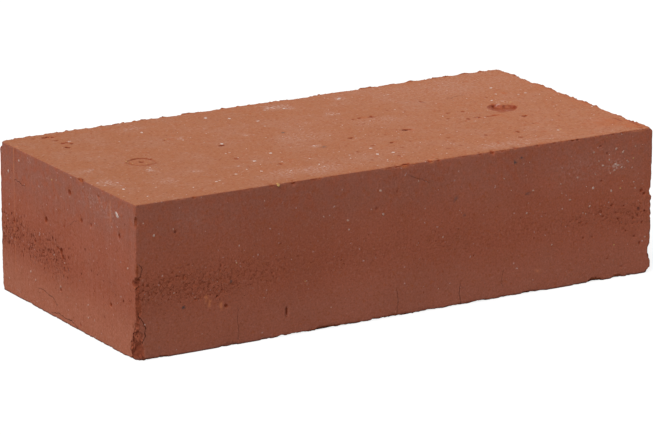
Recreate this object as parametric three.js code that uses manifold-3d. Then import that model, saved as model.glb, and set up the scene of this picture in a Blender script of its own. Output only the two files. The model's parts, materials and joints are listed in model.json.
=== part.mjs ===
// A solid clay building brick of the single format, pressed from nearly dry clay in a steel
// mould and fired. It is one piece of ceramic: a block with rubbed arrises and broken corners,
// the imprints of the two bolts that held the upper punch, one of them with its clay torn out,
// a scratch dragged down a header by the mould wall, and the larger pits of the upper bed.
//
// Frame, in millimetres: +Z up, the origin at the middle of the lower bed, the length along X
// and the width along Y. The stretchers face -Y and +Y, and the headers face -X and +X.

import * as THREE from "three";
import { mergeVertices, toCreasedNormals } from "three/addons/utils/BufferGeometryUtils.js";
import Module from "manifold-3d";

const wasm = await Module();
wasm.setup();

// ---- Driving dimensions ---------------------------------------------------------------------

const LENGTH = 250;
const WIDTH = 120;
const HEIGHT = 65;

const UPRIGHT_ARRIS_RADIUS = 0.8; // from the corners of the mould liner
const BED_ARRIS_RADIUS = 0.5; // where the punch met the liner, rubbed off in handling
const ARRIS_SEGMENTS = 2; // steps in each half of a rounded arris

const BOLT_INSET = 35.5; // from a header to the axis of the nearest punch bolt
const PUNCH_SHIFT = -0.9; // how far along X the punch sat off the middle of the mould
const BOLT_HEAD_RADIUS = 6.3;
const BOLT_GROOVE_WIDTH = 1.2; // the gap round the bolt head, where the clay was pressed less
const BOLT_GROOVE_DEPTH = 0.75;
const BOLT_FACE_DEPTH = 0.15; // of the clay under the bolt's face, below the bed
const BOLT_CENTRE_RADIUS = 0.75; // the pip of the centre mark on the bolt
const BOLT_CENTRE_DEPTH = 0.7;

const TEAR_HEADING = 60; // degrees from +X towards +Y, the way the torn floor falls
const TEAR_DEPTH = 1.2; // of the hollow where the clay under one bolt came away
const TEAR_LEDGE = 3; // the width of the clay that stayed between the wall and the rim
const TEAR_LEAN = 2.5; // how far the lowest point of the floor lies off the hollow's middle
const TEAR_LIP = 0.35; // how far the clay that was pulled up on the ledge stands above the bed
const TEAR_LIP_LENGTH = 6;
const TEAR_LIP_ROOT = 0.4; // how deep the middle of that lip lies in the bed
const TEAR_LIP_ASIDE = 1.2; // of its middle, across the heading

const SCRATCH_INSET = 12.1; // from the rear stretcher, across the header
const SCRATCH_WIDTH = 1.2;
const SCRATCH_DEPTH = 0.3;
const SCRATCH_LENGTH = 21; // down from the upper bed

const FRACTURE_ROUGHNESS = 0.07; // the share by which a fracture leaves its smooth scoop
const FRACTURE_STANDOFF = 0.6; // of a bite, from the arris out to the middle of the scoop
const PIT_STANDOFF = 0.4; // of a pit's depth, from the face out to the middle of the pit
const FRACTURE_DETAIL = 2; // how often the edges of the icosahedron are split
const PIT_DETAIL = 1;
const ROUND_SEGMENTS = 32;
const CREASE_ANGLE = Math.PI / 9;

// Where an arris has broken away. An arris is named by the outward sides of the two faces that
// meet in it, and has a 0 for the axis that it runs along. The middle of the spall is "inset"
// from one "end" of the arris: -1 is the end at -X, at the front or below, and 1 the other.
// "bites" is how far the spall reaches along the two other axes, in the order X, Y, Z.
const SPALLS = [
  // the front upright arris at -X, crumbled from its middle down to a broken foot
  { arris: [-1, -1, 0], end: 1, inset: 5.8, length: 3.6, bites: [0.9, 1.1] },
  { arris: [-1, -1, 0], end: -1, inset: 34.2, length: 4.4, bites: [2.5, 2.8] },
  { arris: [-1, -1, 0], end: -1, inset: 24, length: 24, bites: [2.2, 1.1] },
  { arris: [-1, -1, 0], end: -1, inset: 0, length: 24, bites: [3.6, 5] },
  // the front upright arris at +X
  { arris: [1, -1, 0], end: 1, inset: 28.5, length: 4.5, bites: [1.2, 1.9] },
  { arris: [1, -1, 0], end: -1, inset: 9.3, length: 7.5, bites: [2, 2] },
  { arris: [1, -1, 0], end: -1, inset: 0, length: 5, bites: [2.6, 2] },
  { arris: [1, -1, 0], end: 1, inset: 0, length: 2.4, bites: [1.2, 1.6] },
  // the rear upright arrises
  { arris: [-1, 1, 0], end: 1, inset: 0, length: 6, bites: [2.2, 2.4] },
  { arris: [-1, 1, 0], end: -1, inset: 0, length: 6, bites: [1.8, 1.7] },
  { arris: [1, 1, 0], end: 1, inset: 0, length: 4, bites: [1.4, 1.3] },
  { arris: [1, 1, 0], end: -1, inset: 2, length: 15, bites: [3.6, 4.6] },
  // round the upper bed
  { arris: [-1, 0, 1], end: 1, inset: 73, length: 5, bites: [1.2, 1.3] },
  { arris: [0, -1, 1], end: -1, inset: 126, length: 4.5, bites: [1.3, 1.2] },
  { arris: [0, 1, 1], end: -1, inset: 82.4, length: 12, bites: [1.2, 1] },
  { arris: [0, 1, 1], end: 1, inset: 105.7, length: 22, bites: [1.4, 1.2] },
  { arris: [1, 0, 1], end: -1, inset: 78, length: 12, bites: [1.7, 1.4] },
  // round the lower bed
  { arris: [0, -1, -1], end: 1, inset: 29.1, length: 9, bites: [1.7, 1.9] },
  { arris: [0, -1, -1], end: 1, inset: 17.2, length: 6, bites: [1.6, 1.8] },
  { arris: [0, 1, -1], end: -1, inset: 61, length: 16, bites: [2.6, 2.2] },
];

// Pits in the upper bed. "near" names the header and the stretcher that a pit is inset from, and
// "insets" and "half" are distances along X and Y.
const PITS = [
  { near: [-1, 1], insets: [19.5, 5.6], half: [3, 1.4], depth: 1 },
  { near: [-1, 1], insets: [20.3, 12.8], half: [1.1, 0.9], depth: 0.7 },
  { near: [-1, 1], insets: [21.4, 16.4], half: [1.9, 1.6], depth: 1.2 },
  { near: [-1, 1], insets: [24.3, 17.7], half: [1.2, 1.4], depth: 1.2 },
  { near: [-1, 1], insets: [19.2, 24.6], half: [1.2, 1.3], depth: 1.4 },
  { near: [-1, 1], insets: [75.8, 55.1], half: [1.8, 1.3], depth: 1 },
  { near: [-1, -1], insets: [70.3, 42.9], half: [1.4, 1], depth: 0.6 },
  { near: [1, -1], insets: [121, 48.5], half: [1.4, 1], depth: 0.9 },
  { near: [1, -1], insets: [93.8, 48.6], half: [1.6, 1.3], depth: 1.1 },
  { near: [1, 1], insets: [94.4, 44.4], half: [1.5, 1.2], depth: 0.9 },
  { near: [1, -1], insets: [110, 33.5], half: [1.5, 1], depth: 0.9 },
  { near: [1, -1], insets: [69.1, 24.1], half: [1.4, 1.1], depth: 0.9 },
  { near: [1, -1], insets: [54.3, 22.1], half: [0.8, 1.6], depth: 0.7 },
  { near: [1, -1], insets: [58.1, 14], half: [1.3, 1], depth: 0.9 },
  { near: [1, -1], insets: [36.9, 43.4], half: [1.8, 1], depth: 0.9 },
];

const HALF = [LENGTH / 2, WIDTH / 2, HEIGHT / 2];
const MIDDLE = [0, 0, HEIGHT / 2];

// ---- From three.js meshes to solids, and back ------------------------------------------------

function solidOf(geometry) {
  const bare = new THREE.BufferGeometry();
  bare.setAttribute("position", geometry.getAttribute("position"));
  bare.setIndex(geometry.index);
  const merged = mergeVertices(bare);
  return new wasm.Manifold(
    new wasm.Mesh({
      numProp: 3,
      vertProperties: new Float32Array(merged.attributes.position.array),
      triVerts: new Uint32Array(merged.index.array),
    }),
  );
}

function geometryOf(solid) {
  const mesh = solid.getMesh();
  const geometry = new THREE.BufferGeometry();
  geometry.setAttribute("position", new THREE.BufferAttribute(mesh.vertProperties, 3));
  geometry.setIndex(new THREE.BufferAttribute(mesh.triVerts, 1));
  return toCreasedNormals(geometry, CREASE_ANGLE);
}

// ---- Shapes ----------------------------------------------------------------------------------

// The block as it leaves the mould: a plan with rounded corners, and a small round where each
// upright side meets a bed.
function pressedBlock() {
  const [x, y] = HALF;
  const r = UPRIGHT_ARRIS_RADIUS;
  const quarter = Math.PI / 2;
  const plan = new THREE.Shape();
  plan.absarc(x - r, y - r, r, 0, quarter);
  plan.absarc(r - x, y - r, r, quarter, 2 * quarter);
  plan.absarc(r - x, r - y, r, 2 * quarter, 3 * quarter);
  plan.absarc(x - r, r - y, r, 3 * quarter, 4 * quarter);
  const block = new THREE.ExtrudeGeometry(plan, {
    depth: HEIGHT - 2 * BED_ARRIS_RADIUS,
    curveSegments: ARRIS_SEGMENTS,
    bevelThickness: BED_ARRIS_RADIUS,
    bevelSize: BED_ARRIS_RADIUS,
    bevelOffset: -BED_ARRIS_RADIUS,
    bevelSegments: ARRIS_SEGMENTS,
  });
  return block.translate(0, 0, BED_ARRIS_RADIUS);
}

// The unevenness of broken clay, from -1 to 1, at a point of the unit sphere.
function raggedness(point, seed) {
  const broad = Math.sin(4.1 * point.x + 2.3 * seed) + Math.sin(4.7 * point.y + 3.1 * seed);
  const fine = Math.sin(8.9 * point.z + 1.7 * seed) * Math.cos(9.7 * point.x - seed);
  return (broad + 2 * fine) / 4;
}

// A ball with an uneven surface, drawn out to three radii.
function raggedBall(radii, detail, seed) {
  const ball = new THREE.IcosahedronGeometry(1, detail);
  const places = ball.getAttribute("position");
  const point = new THREE.Vector3();
  const stretch = new THREE.Vector3(...radii);
  for (let i = 0; i < places.count; i += 1) {
    point.fromBufferAttribute(places, i);
    point.multiplyScalar(1 + FRACTURE_ROUGHNESS * raggedness(point, seed));
    point.multiply(stretch);
    places.setXYZ(i, point.x, point.y, point.z);
  }
  return ball;
}

// What a spall takes away: an ellipsoid whose middle lies outside the arris, a share of each
// bite away from both faces, so that it passes through the ends of the bites and of the length.
function spall({ arris, end, inset, length, bites }, seed) {
  const across = Math.hypot(1 + FRACTURE_STANDOFF, FRACTURE_STANDOFF);
  const lengthwise = Math.sqrt(1 - 2 * (FRACTURE_STANDOFF / across) ** 2);
  const remaining = [...bites];
  const radii = [];
  const place = [];
  arris.forEach((side, axis) => {
    if (side === 0) {
      radii.push(length / 2 / lengthwise);
      place.push(MIDDLE[axis] + end * (HALF[axis] - inset));
    } else {
      const bite = remaining.shift();
      radii.push(bite * across);
      place.push(MIDDLE[axis] + side * (HALF[axis] + FRACTURE_STANDOFF * bite));
    }
  });
  return raggedBall(radii, FRACTURE_DETAIL, seed).translate(...place);
}

// A pit's tool, about the origin of the face and with the face's outward side along +Z. It is
// an ellipse of the given half-widths where it meets the face.
function pitTool(half, depth, seed) {
  const rise = PIT_STANDOFF * depth;
  const spread = 1 / Math.sqrt(1 - (rise / (depth + rise)) ** 2);
  const radii = [half[0] * spread, half[1] * spread, depth + rise];
  return raggedBall(radii, PIT_DETAIL, seed).translate(0, 0, rise);
}

function bedPit({ near, insets, half, depth }, seed) {
  const x = near[0] * (HALF[0] - insets[0]);
  const y = near[1] * (HALF[1] - insets[1]);
  return pitTool(half, depth, seed).translate(x, y, HEIGHT);
}

// The scratch starts at the upper bed and runs out down the header that faces -X.
function mouldScratch() {
  const tool = pitTool([SCRATCH_LENGTH, SCRATCH_WIDTH / 2], SCRATCH_DEPTH, 1);
  tool.rotateY(-Math.PI / 2);
  return tool.translate(-HALF[0], HALF[1] - SCRATCH_INSET, HEIGHT);
}

// Moves a shape from the origin to where the axis of the bolt on that side meets the bed.
function atBolt(geometry, side) {
  return geometry.translate(PUNCH_SHIFT + side * (HALF[0] - BOLT_INSET), 0, HEIGHT);
}

// A groove round a plain disc that lies a little below the bed, with a pip in its middle. The
// profile's points are distances from the bolt's axis and heights above the bed.
function boltImprint(side) {
  const inner = BOLT_HEAD_RADIUS - BOLT_GROOVE_WIDTH;
  const profile = [
    [0, -BOLT_FACE_DEPTH - BOLT_CENTRE_DEPTH],
    [BOLT_CENTRE_RADIUS / 2, -BOLT_FACE_DEPTH - BOLT_CENTRE_DEPTH],
    [BOLT_CENTRE_RADIUS, -BOLT_FACE_DEPTH],
    [inner, -BOLT_FACE_DEPTH],
    [inner + BOLT_GROOVE_WIDTH / 3, -BOLT_GROOVE_DEPTH],
    [BOLT_HEAD_RADIUS - BOLT_GROOVE_WIDTH / 4, -BOLT_GROOVE_DEPTH],
    [BOLT_HEAD_RADIUS, 0],
    [BOLT_HEAD_RADIUS, BOLT_GROOVE_DEPTH],
    [0, BOLT_GROOVE_DEPTH],
  ];
  const points = profile.map(([radius, height]) => new THREE.Vector2(radius, height));
  const turned = new THREE.LatheGeometry(points, ROUND_SEGMENTS);
  return atBolt(turned.rotateX(Math.PI / 2), side);
}

// The hollow where the clay under a bolt came away with the punch: a bowl inside the imprint,
// drawn along the heading as it gets deeper, so that its floor falls gently from the rim and
// ends in a steep wall. It is made with the heading along +X and then turned.
function tornHollow(side) {
  const reach = BOLT_HEAD_RADIUS - TEAR_LEDGE / 2;
  const bowl = raggedBall([reach, BOLT_HEAD_RADIUS, TEAR_DEPTH], FRACTURE_DETAIL, 5);
  const places = bowl.getAttribute("position");
  for (let i = 0; i < places.count; i += 1) {
    const sunk = Math.max(-places.getZ(i) / TEAR_DEPTH, 0);
    places.setX(i, places.getX(i) - TEAR_LEDGE / 2 + TEAR_LEAN * sunk ** 3);
  }
  bowl.rotateZ(THREE.MathUtils.degToRad(TEAR_HEADING));
  return atBolt(bowl, side);
}

// The lip of clay that was pulled up on the ledge beyond that wall.
function tornLip(side) {
  const radii = [TEAR_LEDGE, TEAR_LIP_LENGTH / 2, TEAR_LIP_ROOT + TEAR_LIP];
  const lip = raggedBall(radii, FRACTURE_DETAIL, 3);
  lip.translate(BOLT_HEAD_RADIUS - TEAR_LEDGE / 2, TEAR_LIP_ASIDE, -TEAR_LIP_ROOT);
  lip.rotateZ(THREE.MathUtils.degToRad(TEAR_HEADING));
  return atBolt(lip, side);
}

// ---- The brick -------------------------------------------------------------------------------

const cuts = [
  boltImprint(-1),
  tornHollow(1),
  mouldScratch(),
  ...PITS.map((pit, i) => bedPit(pit, i + 1)),
  ...SPALLS.map((broken, i) => spall(broken, i + 1)),
];
let fired = solidOf(pressedBlock());
for (const cut of cuts) {
  fired = fired.subtract(solidOf(cut));
}
fired = fired.add(solidOf(tornLip(1)));

const terracotta = new THREE.MeshStandardMaterial({
  name: "terracotta",
  color: 0x9a5640,
  roughness: 0.92,
  metalness: 0,
});

const brick = new THREE.Mesh(geometryOf(fired), terracotta);
brick.name = "pressed_brick";

const group = new THREE.Group();
group.add(brick);

export default group;
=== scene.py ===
# %% [markdown]
# # A pressed clay brick
#
# This lesson dresses one solid building brick. A brick like this is made from clay that is only
# damp: two steel punches press it in a steel mould, a wall of the mould drags down its sides as
# it is pushed out, and the kiln fires it red. Nearly all of its looks are relief and dust, so most
# of the lesson is about working out a worn surface with numpy, and the rest about one material.
#
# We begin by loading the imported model. It is the frame: it says how long, wide and high the
# brick is, and everything that is made here goes on it.

# %% Load the frame
import json
from functools import partial

import bpy
import numpy as np
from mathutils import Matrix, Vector


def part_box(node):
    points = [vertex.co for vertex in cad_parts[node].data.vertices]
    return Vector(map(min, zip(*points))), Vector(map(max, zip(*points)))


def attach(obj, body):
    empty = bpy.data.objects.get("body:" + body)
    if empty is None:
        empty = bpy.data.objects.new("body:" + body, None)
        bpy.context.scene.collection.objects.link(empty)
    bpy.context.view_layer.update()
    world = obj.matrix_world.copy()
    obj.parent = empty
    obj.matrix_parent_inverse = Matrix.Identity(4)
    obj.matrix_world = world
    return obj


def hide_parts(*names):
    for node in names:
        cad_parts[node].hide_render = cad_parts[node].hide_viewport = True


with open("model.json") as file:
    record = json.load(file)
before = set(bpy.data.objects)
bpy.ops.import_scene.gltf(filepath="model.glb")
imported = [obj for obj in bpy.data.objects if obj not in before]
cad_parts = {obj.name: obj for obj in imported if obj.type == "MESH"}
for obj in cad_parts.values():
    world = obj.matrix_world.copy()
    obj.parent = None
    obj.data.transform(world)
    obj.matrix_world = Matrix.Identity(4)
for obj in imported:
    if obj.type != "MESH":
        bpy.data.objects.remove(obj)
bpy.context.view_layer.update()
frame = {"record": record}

# %% [markdown]
# ## The block in millimetres
#
# Clay is easier to think about in millimetres, so the shape is worked out in them and turned to
# metres only when it goes into a mesh. The upper bed's mount gives the height, because a little
# clay stands above that bed and the box would count it.

# %% Read the sizes of the block
MM = 0.001
low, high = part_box("pressed_brick")
mounts = {mount["name"]: mount for mount in frame["record"]["mounts"]}
LENGTH = (high[0] - low[0]) / MM
WIDTH = (high[1] - low[1]) / MM
HEIGHT = mounts["upper_bed"]["pos_m"][2] / MM
HALF = np.array([LENGTH, WIDTH, HEIGHT]) / 2
MIDDLE = np.array([0, 0, HEIGHT / 2])
print(f"block {LENGTH:.1f} x {WIDTH:.1f} x {HEIGHT:.1f} mm")

# %% [markdown]
# ## Chance that repeats
#
# Broken clay is irregular, but the script has to give the same brick each time it runs. So the
# chance comes from a hash: a whole number goes in and always gives the same scrambled number
# back. Two kinds of pattern are made from it. Cloudy noise blends the numbers at the corners of
# a cube of space, and pock marks put a round hollow at a chance place in each cube.


# %% Patterns of chance
# Every use of a pattern has a seed of its own, so that no two of them coincide.
AXIS_FACTORS = (0x8DA6B343, 0xD8163841, 0xCB1AB31F)  # large and odd, so that the axes differ


def chance(cell, seed):
    """A number from 0 to 1 for each row of three whole numbers: multiply, mix the bits, repeat."""
    mixed = np.full(len(cell), seed * 2654435761 % 2**32, dtype=np.uint32)
    for axis, factor in enumerate(AXIS_FACTORS):
        mixed ^= cell[:, axis].astype(np.uint32) * np.uint32(factor)
        mixed = (mixed ^ (mixed >> np.uint32(15))) * np.uint32(0x2C1B3C6D)
        mixed = (mixed ^ (mixed >> np.uint32(12))) * np.uint32(0x297A2D39)
    return (mixed ^ (mixed >> np.uint32(15))) / 2.0**32


def smooth(low_edge, high_edge, value):
    """0 below the low edge, 1 above the high one, and 3t^2 - 2t^3 between them."""
    t = np.clip((value - low_edge) / (high_edge - low_edge), 0, 1)
    return t * t * (3 - 2 * t)


def bell(value, width):
    """1 where the value is 0, falling as exp(-t^2) on both sides."""
    return np.exp(-((value / width) ** 2))


def cloud(points, size, seed):
    """Smooth noise from -1 to 1 with lumps of the given size in mm: the numbers of the eight
    corners of each cube, blended by smoothed distances."""
    scaled = points / size
    home = np.floor(scaled).astype(np.int64)
    share = smooth(0, 1, scaled - home)
    total = np.zeros(len(points))
    for step in np.ndindex(2, 2, 2):
        weight = np.prod(np.where(np.array(step) == 1, share, 1 - share), axis=1)
        total += weight * chance(home + step, seed)
    return 2 * total - 1


def clouds(points, size, octaves, seed):
    """Cloud upon cloud, each half as large and half as strong as the last, from about -1 to 1."""
    layers = [cloud(points, size / 2**k, seed + k) / 2**k for k in range(octaves)]
    return sum(layers) / sum(1 / 2**k for k in range(octaves))


def pocks(points, spacing, share, radius, seed):
    """Round hollows, one in a share of the cubes of the given spacing: 1 at the middle of a
    hollow, falling as 1 - r^2 to 0 at its rim."""
    scaled = points / spacing
    home = np.floor(scaled - 0.5).astype(np.int64)
    depth = np.zeros(len(points))
    for step in np.ndindex(2, 2, 2):
        cell = home + step
        middle = cell + np.stack([chance(cell, seed + k) for k in range(3)], axis=1)
        size = radius * (0.4 + chance(cell, seed + 3)) / spacing
        away = np.linalg.norm(scaled - middle, axis=1) / size
        kept = chance(cell, seed + 4) < share
        depth = np.maximum(depth, kept * np.clip(1 - away**2, 0, 1))
    return depth


print("chance for cell 1, 2, 3:", chance(np.array([[1, 2, 3]]), 7))

# %% [markdown]
# ## A closed net over the block
#
# A box could be subdivided, but then the small steps would be everywhere, and only the arrises
# and the bolt marks need them. Instead each edge of the block gets a list of stations, close
# together where the clay is broken and wider apart where it is plain. A side is then a grid of
# two of the lists, and a point is numbered by its three stations, so that two sides share the
# points of the arris between them and the net is closed from the start.

# %% Lay the net
# All in mm. A strip is how far a place's finer steps reach on both sides of it.
ARRIS_STRIP, ARRIS_STEP = 7.0, 0.32
BOLT_STRIP, BOLT_STEP = 7.5, 0.27
BAND_STRIP, BAND_STEP = 9.0, 0.42
SCRATCH_STRIP = 1.4
PLAIN_STEP = 0.62
BOLT_INSET = 35.5
BOLT_SHIFT = -0.9  # the punch sat a little to the left
BOLTS = [BOLT_SHIFT - LENGTH / 2 + BOLT_INSET, BOLT_SHIFT + LENGTH / 2 - BOLT_INSET]
MARKS_Y = 0.1
BAND_HEIGHT = 29.0
SCRATCH_Y = WIDTH / 2 - 12.8


def stations(start, end, finer):
    """Stations along an edge: plain steps, fine ones in a strip at both ends, and a step of
    their own in the finer places, each of which is a middle, a reach and a step."""
    spans = [(start, start + ARRIS_STRIP, ARRIS_STEP), (end - ARRIS_STRIP, end, ARRIS_STEP)]
    spans += [(middle - reach, middle + reach, step) for middle, reach, step in finer]
    marks = np.unique([mark for span in spans for mark in span[:2]])
    pieces = [np.array([start])]
    for begin, stop in zip(marks[:-1], marks[1:]):
        centre = (begin + stop) / 2
        steps = [step for first, last, step in spans if first < centre < last]
        count = int(np.ceil((stop - begin) / min(steps + [PLAIN_STEP])))
        pieces.append(np.linspace(begin, stop, count + 1)[1:])
    return np.concatenate(pieces)


def others(axis):
    """The two axes beside the given one."""
    return [other for other in range(3) if other != axis]


def box_net(lines):
    """The points and quads of a closed box whose sides are grids of the three lists of
    stations. The quads turn so that each side faces outwards."""
    counts = [len(line) for line in lines]
    quads = []
    for axis in range(3):
        first, second = others(axis)
        a, b = np.meshgrid(np.arange(counts[first]), np.arange(counts[second]), indexing="ij")
        for end in (0, counts[axis] - 1):
            place = [None, None, None]
            place[axis], place[first], place[second] = np.full_like(a, end), a, b
            number = (place[0] * counts[1] + place[1]) * counts[2] + place[2]
            around = [number[:-1, :-1], number[1:, :-1], number[1:, 1:], number[:-1, 1:]]
            quad = np.stack(around, axis=-1).reshape(-1, 4)
            faces_out = (end > 0) == (axis != 1)
            quads.append(quad if faces_out else quad[:, ::-1])
    used, quads = np.unique(np.concatenate(quads), return_inverse=True)
    at = np.unravel_index(used, counts)
    points = np.stack([line[index] for line, index in zip(lines, at)], axis=1)
    return points, quads.reshape(-1, 4)


bolts = [(x, BOLT_STRIP, BOLT_STEP) for x in BOLTS]
marks_and_scratch = [(MARKS_Y, BOLT_STRIP, BOLT_STEP), (SCRATCH_Y, SCRATCH_STRIP, BOLT_STEP)]
lines = [
    stations(-LENGTH / 2, LENGTH / 2, bolts),
    stations(-WIDTH / 2, WIDTH / 2, marks_and_scratch),
    stations(0, HEIGHT, [(BAND_HEIGHT, BAND_STRIP, BAND_STEP)]),
]
net_points, net_quads = box_net(lines)
print(f"net: {len(net_points)} points, {len(net_quads)} quads")

# %% [markdown]
# ## Sides, insets and outward directions
#
# Every piece of relief below needs to know how far a point lies in from each pair of sides, and
# which way is out. Near an arris the outward direction turns smoothly from one side's to the
# other's, so that relief doesn't tear the net open there.

# %% Where a point is on the block
SIDES = {"left": (0, -1), "right": (0, 1), "front": (1, -1), "rear": (1, 1)}
SIDES |= {"bottom": (2, -1), "top": (2, 1)}
TURN_REACH = 1.2  # mm from an arris within which the outward direction turns
ON_SIDE = 0.01  # mm: a point of the sharp block this near a side lies on it


def insets(points):
    """How far in from the nearer side of each pair a point lies, one column for each axis."""
    return HALF - np.abs(points - MIDDLE)


def outward(points):
    """Unit directions away from the block: the sign of each axis, weighed by how far the point
    lies within the last stretch before that side."""
    weight = np.clip(1 - insets(points) / TURN_REACH, 0, 1) + 1e-9
    direction = np.sign(points - MIDDLE) * weight
    return direction / np.linalg.norm(direction, axis=1, keepdims=True)


def on_side(points, side):
    """1 on the named side, fading to 0 within the turn of its arrises."""
    axis, sign = SIDES[side]
    return np.clip(sign * outward(points)[:, axis], 0, 1)


print("outwards at the corner:", np.round(outward(np.array([[LENGTH, WIDTH, HEIGHT]]))[0], 2))

# %% [markdown]
# ## Arrises
#
# The arrises are what gives a brick away. Where the punch met the mould they are crisp, where
# the clay was pressed least they crumble, and handling rubs them all. The wear is an arc whose
# radii change along the arris: a point nearer to the arris than the arc slides onto it. The
# radius is a plain amount and a ragged one, and the ragged one only counts where its noise is
# strong, so that sound stretches lie between the nibbled ones.

# %% Wear along each arris
# Each arris is named by its two outward signs and a 0 for the axis it runs along. Then come the
# plain radius and the ragged one in mm, and the share of the radius that counts along each of
# the two axes across the arris.
ARRIS_WEAR = [
    ((-1, -1, 0), 0.25, 0.6, (1, 1)), ((1, -1, 0), 0.35, 1.3, (1, 1)),
    ((-1, 1, 0), 0.5, 0.6, (1, 1)), ((1, 1, 0), 1.0, 1.4, (1, 1)),
    ((0, -1, 1), 0.15, 1.2, (0.8, 1)), ((0, 1, 1), 0.4, 0.8, (1, 1)),
    ((-1, 0, 1), 0.15, 0.4, (1, 1)), ((1, 0, 1), 0.4, 1.1, (1, 1)),
    ((0, -1, -1), 0.5, 1.7, (0.8, 1)), ((0, 1, -1), 0.7, 1.4, (1, 1)),
    ((-1, 0, -1), 0.45, 0.7, (1, 1)), ((1, 0, -1), 0.8, 1.4, (1, 1)),
]
# Stretches that crumbled: the arris, where the stretch starts and ends along its axis, the
# radius, and the shares.
CRUMBLED = [
    ((-1, -1, 0), (8, 40), 2.6, (1, 0.35)), ((1, -1, 0), (34, 50), 1.3, (0.9, 1)),
    ((1, -1, 0), (12, 35), 0.35, (0.9, 1)), ((-1, 1, 0), (20, 46), 1.4, (0.8, 1)),
    ((-1, 1, 0), (2, 62), 1.1, (1, 1)), ((1, 1, 0), (18, 46), 2.2, (0.8, 1)),
    ((1, 0, 1), (-60, -20), 1.8, (1, 1)), ((0, 1, 1), (-127, -111), 1.8, (1, 1)),
    ((0, -1, -1), (-12, 72), 1.6, (1.6, 1)), ((0, -1, -1), (-62, -8), 1.5, (2.0, 1)),
    ((0, -1, -1), (-127, -116), 1.3, (2.0, 1)), ((-1, 0, -1), (-62, -50), 1.3, (2.0, 1)),
]
WEAR_REACH = 9.0  # mm in from the arris
LEAST_RADIUS = 0.12  # mm


def slide_to_arc(points, arris, radius_of, shares):
    """Slides the points beside one arris onto an arc. In insets divided by the two radii the
    arc is a circle about (1, 1), and a point inside the square corner moves to it along the
    line to its centre. Returns how far each point moved."""
    across = others(arris.index(0))
    signs = np.array([arris[axis] for axis in across])
    local = points[:, across]
    inset = HALF[across] - signs * (local - MIDDLE[across])
    near = np.flatnonzero((inset < WEAR_REACH).all(axis=1))
    radius = np.maximum(radius_of(points[near]), LEAST_RADIUS)[:, None] * np.array(shares)
    leg = 1 - inset[near] / radius
    reach = np.linalg.norm(leg, axis=1, keepdims=True)
    inside = (leg > 0).all(axis=1) & (reach > 1).ravel()
    shift = (radius * (1 - leg / np.maximum(reach, 1e-9)) - inset[near])[inside]
    hit = near[inside]
    points[np.ix_(hit, across)] = local[hit] - signs * shift
    moved = np.zeros(len(points))
    moved[hit] = np.linalg.norm(shift, axis=1)
    return moved


def nibbled(plain, ragged, seed):
    """The radius along an arris: plain, and ragged where the broad noise is strong."""

    def radius_of(places):
        broad = cloud(places, 5.0, seed)
        middling = cloud(places, 2.0, seed + 1)
        small = cloud(places, 1.1, seed + 2)
        nibble = smooth(-0.1, 0.6, broad + 0.7 * middling)
        return plain * (1 + 0.4 * middling) + ragged * nibble * (0.6 + 0.7 * small)

    return radius_of


def crumbled(axis, stretch, radius, seed):
    """The radius along a crumbled stretch: full in its middle, with grains of 1 to 3 mm, and
    fading over its last 4 mm."""
    start, end = stretch

    def radius_of(places):
        along = places[:, axis] + 2.5 * cloud(places, 5.0, seed)
        window = smooth(start - 2, start + 2, along) * (1 - smooth(end - 2, end + 2, along))
        grains = 0.85 + 0.4 * cloud(places, 3.4, seed + 1) + 0.3 * cloud(places, 1.4, seed + 2)
        return radius * window * grains

    return radius_of


print(f"{len(ARRIS_WEAR)} arrises, {len(CRUMBLED)} crumbled stretches")

# %% [markdown]
# ## Spalls
#
# A spall is a scoop: an ellipsoid whose middle lies outside the arris. Every point of the net
# inside it slides straight away from its middle onto its surface, which leaves a shell-shaped
# fracture with a crisp rim. The surface is uneven because the clay breaks round its grains.
#
# Long tables come in groups. What the rows of a group share stands in front of them.

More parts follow.
